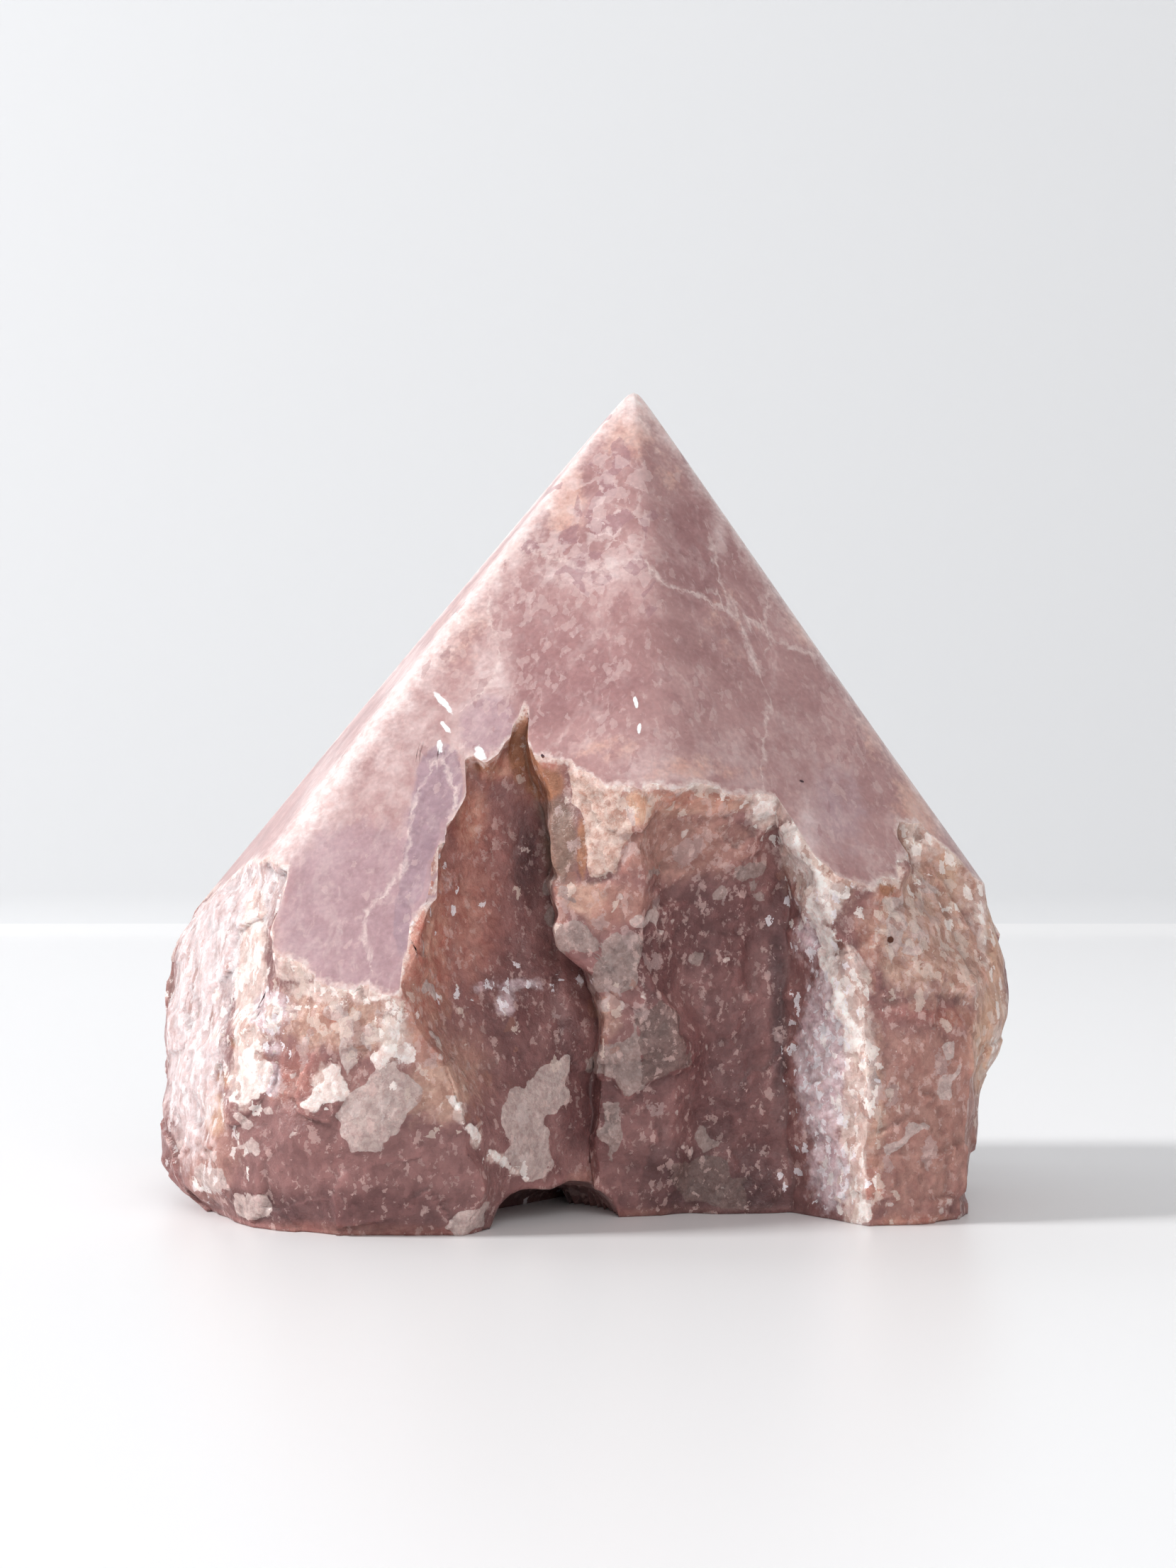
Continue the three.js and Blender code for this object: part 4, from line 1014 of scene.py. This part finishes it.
def makePolishedOpal():
    s = polishedOpal
    material, tree, place, cloud, spread, colour = startOpal("polishedPinkOpal", s["ground"])
    colour = addTints(tree, place, colour, s["tints"])
    # pale dashes and thin wisps, drawn out upwards; a wisp is where its noise is near the middle
    drawn = addNode(tree, "Mapping", {"Vector": place, "Scale": (1, 1, s["drawn"])})
    dashNoise = addNode(tree, "TexNoise", grain(drawn, *s["dashes"]["noise"]))
    dashes = addNode(tree, "MapRange", [dashNoise, *s["dashes"]["levels"]], interpolation_type="SMOOTHSTEP")
    wispNoise = addNode(tree, "TexNoise", grain(drawn, *s["wisps"]["noise"]))
    offMiddle = addNode(tree, "Math", [wispNoise, 0.5], operation="SUBTRACT")
    offMiddle = addNode(tree, "Math", [offMiddle], operation="ABSOLUTE")
    wisps = addNode(tree, "MapRange", [offMiddle, *s["wisps"]["levels"]], interpolation_type="SMOOTHSTEP")
    wisps = addNode(tree, "Math", [wisps, spread], operation="MULTIPLY")
    colour = layOver(tree, colour, (dashes, s["dashes"]["colour"]), (wisps, s["wisps"]["colour"]))
    bent = bendPlace(tree, place, s["bent"], s["bend"])
    colour = addFlecks(tree, bent, spread, colour, s["flecks"])
    openings = addNode(tree, "TexNoise", grain(place, *s["openings"]))
    colour = addWebs(tree, bent, openings, colour, s["webs"])
    colour = addVeins(tree, place, openings, dashNoise, colour, s["veins"])
    # painted glints near the notch, and dark specks, mostly painted shade in small pits
    spotNoise = addNode(tree, "TexNoise", grain(place, *s["spotNoise"]))
    colour = addSpots(tree, place, spotNoise, colour, paintedGlints, s["facets"])
    colour = addSpots(tree, place, spotNoise, colour, darkSpecks, s["specks"])
    grit = addNode(tree, "TexNoise", grain(place, *s["grit"]))
    shade = addNode(tree, "MapRange", [grit, *s["shade"]])
    gloss = addNode(tree, "MapRange", [cloud, *s["gloss"]])
    finishOpal(tree, colour, shade, gloss, grit, s)
    return material


# the same opal as it broke: sugary mauve fracture faces, darker with painted shade in the hollows, with iron
# stains, sparkling druse, pale crust and a painted glow at thin edges
brokenOpal = {
    "ground": (2.8, 0.65, 0.4, 0.36, 0.64, "#815856", "#9a6e6b"),  # as above
    "tints": [
        ("rosy", "#a07066", "#b98c80", 1.8, 0.9, 0.2, 0.8, 1.3, 0.9),
        ("rust", "#8c5953", "#aa736d", 1.8, 0.6, 0.2, 0.9, 1.4, 0.9),
        # tan stain, and a painted glow along the right edge
        ("tanAndEdgeGlow", "#b68b7b", "#d4ae9d", 1.6, 0.9, 0.25, 0.7, 1.1, 0.9),
        # mauve, deepened with painted shade in the hollows and near the base
        ("mauveAndShade", "#623e3e", "#784f4e", 2, 0.7, 0.25, 0.75, 1.2, 0.9),
        # painted glow where light shines through thin edges
        ("paintedGlow", "#b16c5e", "#d19e8c", 1.8, 0.5, 0.2, 0.9, 1.4, 0.85),
        # painted shade
        ("paintedShade", "#492f2f", "#624547", 1.8, 0.6, 0.2, 1, 1.2, 0.85),
        ("apricot", "#c4937a", "#e0b9a1", 1.6, 0.5, 0.3, 0.8, 1.2, 0.85),
        ("umber", "#765a4e", "#957a6d", 1.4, 0.6, 0.2, 0.9, 0.9, 0.9),
        ("ochre", "#8a5a42", "#b07c60", 1.4, 0.5, 0.35, 0.75, 1.2, 0.9),
        ("flank", "#d0b6b5", "#e6dadb", 1.3, 0.9, 0.3, 0.7, 0.9, 0.9),
        # cream, and painted light on the right block's crest and right edge
        ("creamAndLitRidge", "#cdaca2", "#ecd7cf", 1.3, 0.9, 0.35, 0.65, 0.9, 0.85),
        ("druse", "#c9a8ae", "#eedcdf", 1.3, 0.9, 0.35, 0.7, 1.2, 0.85),
        # chalk, and painted glints
        ("chalkAndGlints", "#e4cfc8", "#fbf3f0", 1, 0.9, 0.45, 0.55, 0.7, 0.9),
        ("crust", "#b09692", "#ceb9b3", 0.9, 0.6, -0.04, 0.04, 0.5, 0.92),
        # crust darkened with painted shade
        ("shadedCrust", "#8c7570", "#a8938e", 0.9, 0.6, -0.04, 0.04, 0.5, 0.9),
        ("shadeCrust", "#69514d", "#836b66", 0.9, 0.6, -0.04, 0.04, 0.5, 0.9),
        ("sugar", "#b98f80", "#e2cabf", 0.9, 0.7, -0.06, 0.06, 0.7, 0.92),
        # white crust, and painted light on the crest of the right block
        ("whiteCrustAndLitRidge", "#e4cdc6", "#fdf5f1", 0.9, 0.7, -0.08, 0.08, 0.8, 0.92),
        ("lip", "#cfaca2", "#efe2dc", 1, 1.3, 0.45, 0.8, 0.6, 0.8),
    ],
    "flecks": [
        ("mottle", 1.2, 1.4, 0.01, 0.1, "#bda3a0", 0.5),
        ("mottle", 0.5, 1.6, 0.035, 0.26, "#c9aba5", 0.45),
        ("mottle", 0.3, 1.6, 0.07, 0.1, "#c9aba5", 0.35),
        ("crust", 0.8, 1.2, 0, 0.16, "#d2bfbb", 0.5),
        ("tanAndEdgeGlow", 0.9, 1.3, 0, 0.22, "#9c6c5e", 0.5),
        ("tanAndEdgeGlow", 0.8, 1.3, 0, 0.26, "#dcc6bb", 0.6),
        ("flank", 0.6, 2, 0, 0.2, "#f4ebeb", 0.55),
        ("creamAndLitRidge", 0.6, 1.6, 0, 0.26, "#f8eee9", 0.65),
        # pale druse crystals, with painted sparkle
        ("druse", 0.5, 1.4, 0, 0.24, "#f1e8ec", 0.8),
    ],
    # thin brown cracks up the left flank
    "cracks": {"mark": "flank", "drawn": 0.16, "noise": (1.2, 4, 0.7), "levels": (0.45, 0.36, 0, 0.7),
               "colour": "#a88078"},
    "bent": (0.7, 3, 0.7), "bend": (1.1, 1.1, 1.4),
    "grains": {"size": 0.5, "squeeze": 0.62, "shades": (0, 1, 0.88, 1.12)},
    "paleEdgesCreaseShade": (-0.15, 0.15, 0.84, 1.16),      # edges that stand out are paler, and creases darker with painted shade
    "specks": "#5a2d1c",
    # dark specks, mostly painted shade in small pits
    "grit": (0.45, 3, 0.7), "grainHeight": 0.4, "gloss": (0, 1, 0.62, 0.28),
    "ior": 1.45, "sinking": (0.25, (1, 0.45, 0.38), 3), "bump": (0.6, 0.22),
}


def makeBrokenOpal():
    s = brokenOpal
    material, tree, place, _, spread, colour = startOpal("brokenPinkOpal", s["ground"])
    colour = addTints(tree, place, colour, s["tints"])
    cracks = s["cracks"]
    drawn = addNode(tree, "Mapping", {"Vector": place, "Scale": (1, 1, cracks["drawn"])})
    crackNoise = addNode(tree, "TexNoise", grain(drawn, *cracks["noise"]))
    mark = addNode(tree, "Attribute", {}, "Fac", attribute_name=cracks["mark"])
    cover = addNode(tree, "MapRange", [crackNoise, *cracks["levels"]], interpolation_type="SMOOTHSTEP")
    cover = addNode(tree, "Math", [cover, mark], operation="MULTIPLY", use_clamp=True)
    colour = layOver(tree, colour, (cover, cracks["colour"]))
    # flecks, and a mosaic of sugary grains a little taller than wide
    bent = bendPlace(tree, place, s["bent"], s["bend"])
    colour = addFlecks(tree, bent, spread, colour, s["flecks"])
    tall = addNode(tree, "Mapping", {"Vector": bent, "Scale": (1, 1, s["grains"]["squeeze"])})
    cell = addNode(tree, "TexVoronoi", {"Vector": tall, "Scale": perGrain(s["grains"]["size"])}, "Color")
    pick = addNode(tree, "SeparateColor", [cell])
    grit = addNode(tree, "TexNoise", grain(place, *s["grit"]))
    # dark specks, mostly painted shade in small pits
    colour = addSpots(tree, place, grit, colour, darkSpecks, s["specks"])
    # edges that stand out are paler, and creases darker with painted shade
    edge = addNode(tree, "Attribute", {}, "Fac", attribute_name="edge")
    grains = addNode(tree, "MapRange", [pick, *s["grains"]["shades"]])
    paleEdgesCreaseShade = addNode(tree, "MapRange", [edge, *s["paleEdgesCreaseShade"]])
    shade = addNode(tree, "Math", [grains, paleEdgesCreaseShade], operation="MULTIPLY")
    gloss = addNode(tree, "MapRange", [pick, *s["gloss"]])
    height = addNode(tree, "Math", [pick, s["grainHeight"], grit], operation="MULTIPLY_ADD")
    finishOpal(tree, colour, shade, gloss, height, s)
    return material


stone.data.materials.append(makeBrokenOpal())
stone.data.materials.append(makePolishedOpal())
print("stone materials made")

# the floor and the wall behind it, one sheet bent up with a small radius, in metres
studio = {
    "halfWidth": 2.2, "front": -2.2, "back": 0.46, "height": 1.2, "radius": 0.012,
    "bendSteps": 8, "drop": 0.00003,       # under the stone, so that the two don't flicker
    "floor": ("#f1f1f2", 0.35), "wall": ("#e6e7e9", 0.8),  # colour, roughness
}


def plainMaterial(name, colour, roughness):
    material = bpy.data.materials.new(name)
    material.use_nodes = True
    shader = material.node_tree.nodes["Principled BSDF"]
    shader.inputs["Base Color"].default_value = srgb(colour)
    shader.inputs["Roughness"].default_value = roughness
    return material


def buildStudio():
    s = studio
    turn = np.linspace(0, math.pi / 2, s["bendSteps"] + 1)
    y = np.concatenate([[s["front"]], s["back"] - s["radius"] + s["radius"] * np.sin(turn), [s["back"]]])
    z = np.concatenate([[0], s["radius"] * (1 - np.cos(turn)), [s["height"]]]) - s["drop"]
    points = [(x, a, b) for x in (-s["halfWidth"], s["halfWidth"]) for a, b in zip(y, z)]
    n = len(y)
    mesh = bpy.data.meshes.new("studioSheet")
    mesh.from_pydata(points, [], [(k, k + n, k + n + 1, k + 1) for k in range(n - 1)])
    mesh.polygons.foreach_set("use_smooth", np.ones(n - 1, bool))
    mesh.materials.append(plainMaterial("paleTable", *s["floor"]))
    mesh.materials.append(plainMaterial("paleWall", *s["wall"]))
    onWall = np.arange(n - 1) > s["bendSteps"] // 2
    mesh.polygons.foreach_set("material_index", onWall.astype(np.int32))
    sheet = bpy.data.objects.new("studioSheet", mesh)
    bpy.context.scene.collection.objects.link(sheet)


buildStudio()
print("studio built")

# soft light from a window on the left, a weaker fill, and a pale room all round
lights = {
    "window": {"place": (-1.5, -0.22, 1.08), "aim": (0.0, 0.0, 0.03), "size": 0.34, "watts": 28.0},
    "fill": {"place": (0.15, -0.85, 0.5), "aim": (0.0, 0.0, 0.04), "size": 0.7, "watts": 3.6},
    "room": ("#ffffff", 0.32),
}


def aimAt(place, target):
    return (Vector(target) - Vector(place)).to_track_quat("-Z", "Y").to_euler()


def buildLights():
    for name in ("window", "fill"):
        light = lights[name]
        data = bpy.data.lights.new(name, "AREA")
        data.shape, data.size, data.energy = "SQUARE", light["size"], light["watts"]
        lamp = bpy.data.objects.new(name, data)
        lamp.location = light["place"]
        lamp.rotation_euler = aimAt(light["place"], light["aim"])
        bpy.context.scene.collection.objects.link(lamp)
    world = bpy.data.worlds.new("paleRoom")
    world.use_nodes = True
    background = world.node_tree.nodes["Background"]
    background.inputs["Color"].default_value = srgb(lights["room"][0])
    background.inputs["Strength"].default_value = lights["room"][1]
    bpy.context.scene.world = world


buildLights()

# the camera stands level with the middle of the stone, a quarter of a metre away, and looks up a little
cameraSet = {"place": (0.0007, -0.2431, 0.0367), "tilt": 0.414, "lens": 58.59, "sensor": 36.0}


def buildCamera():
    data = bpy.data.cameras.new("camera")
    data.lens, data.sensor_width = cameraSet["lens"], cameraSet["sensor"]
    data.clip_start = 0.01
    camera = bpy.data.objects.new("camera", data)
    camera.location = cameraSet["place"]
    camera.rotation_euler = (math.radians(90 + cameraSet["tilt"]), 0, 0)
    bpy.context.scene.collection.objects.link(camera)
    bpy.context.scene.camera = camera


buildCamera()
bpy.context.scene.view_settings.view_transform = "Standard"
print("lights and camera set")
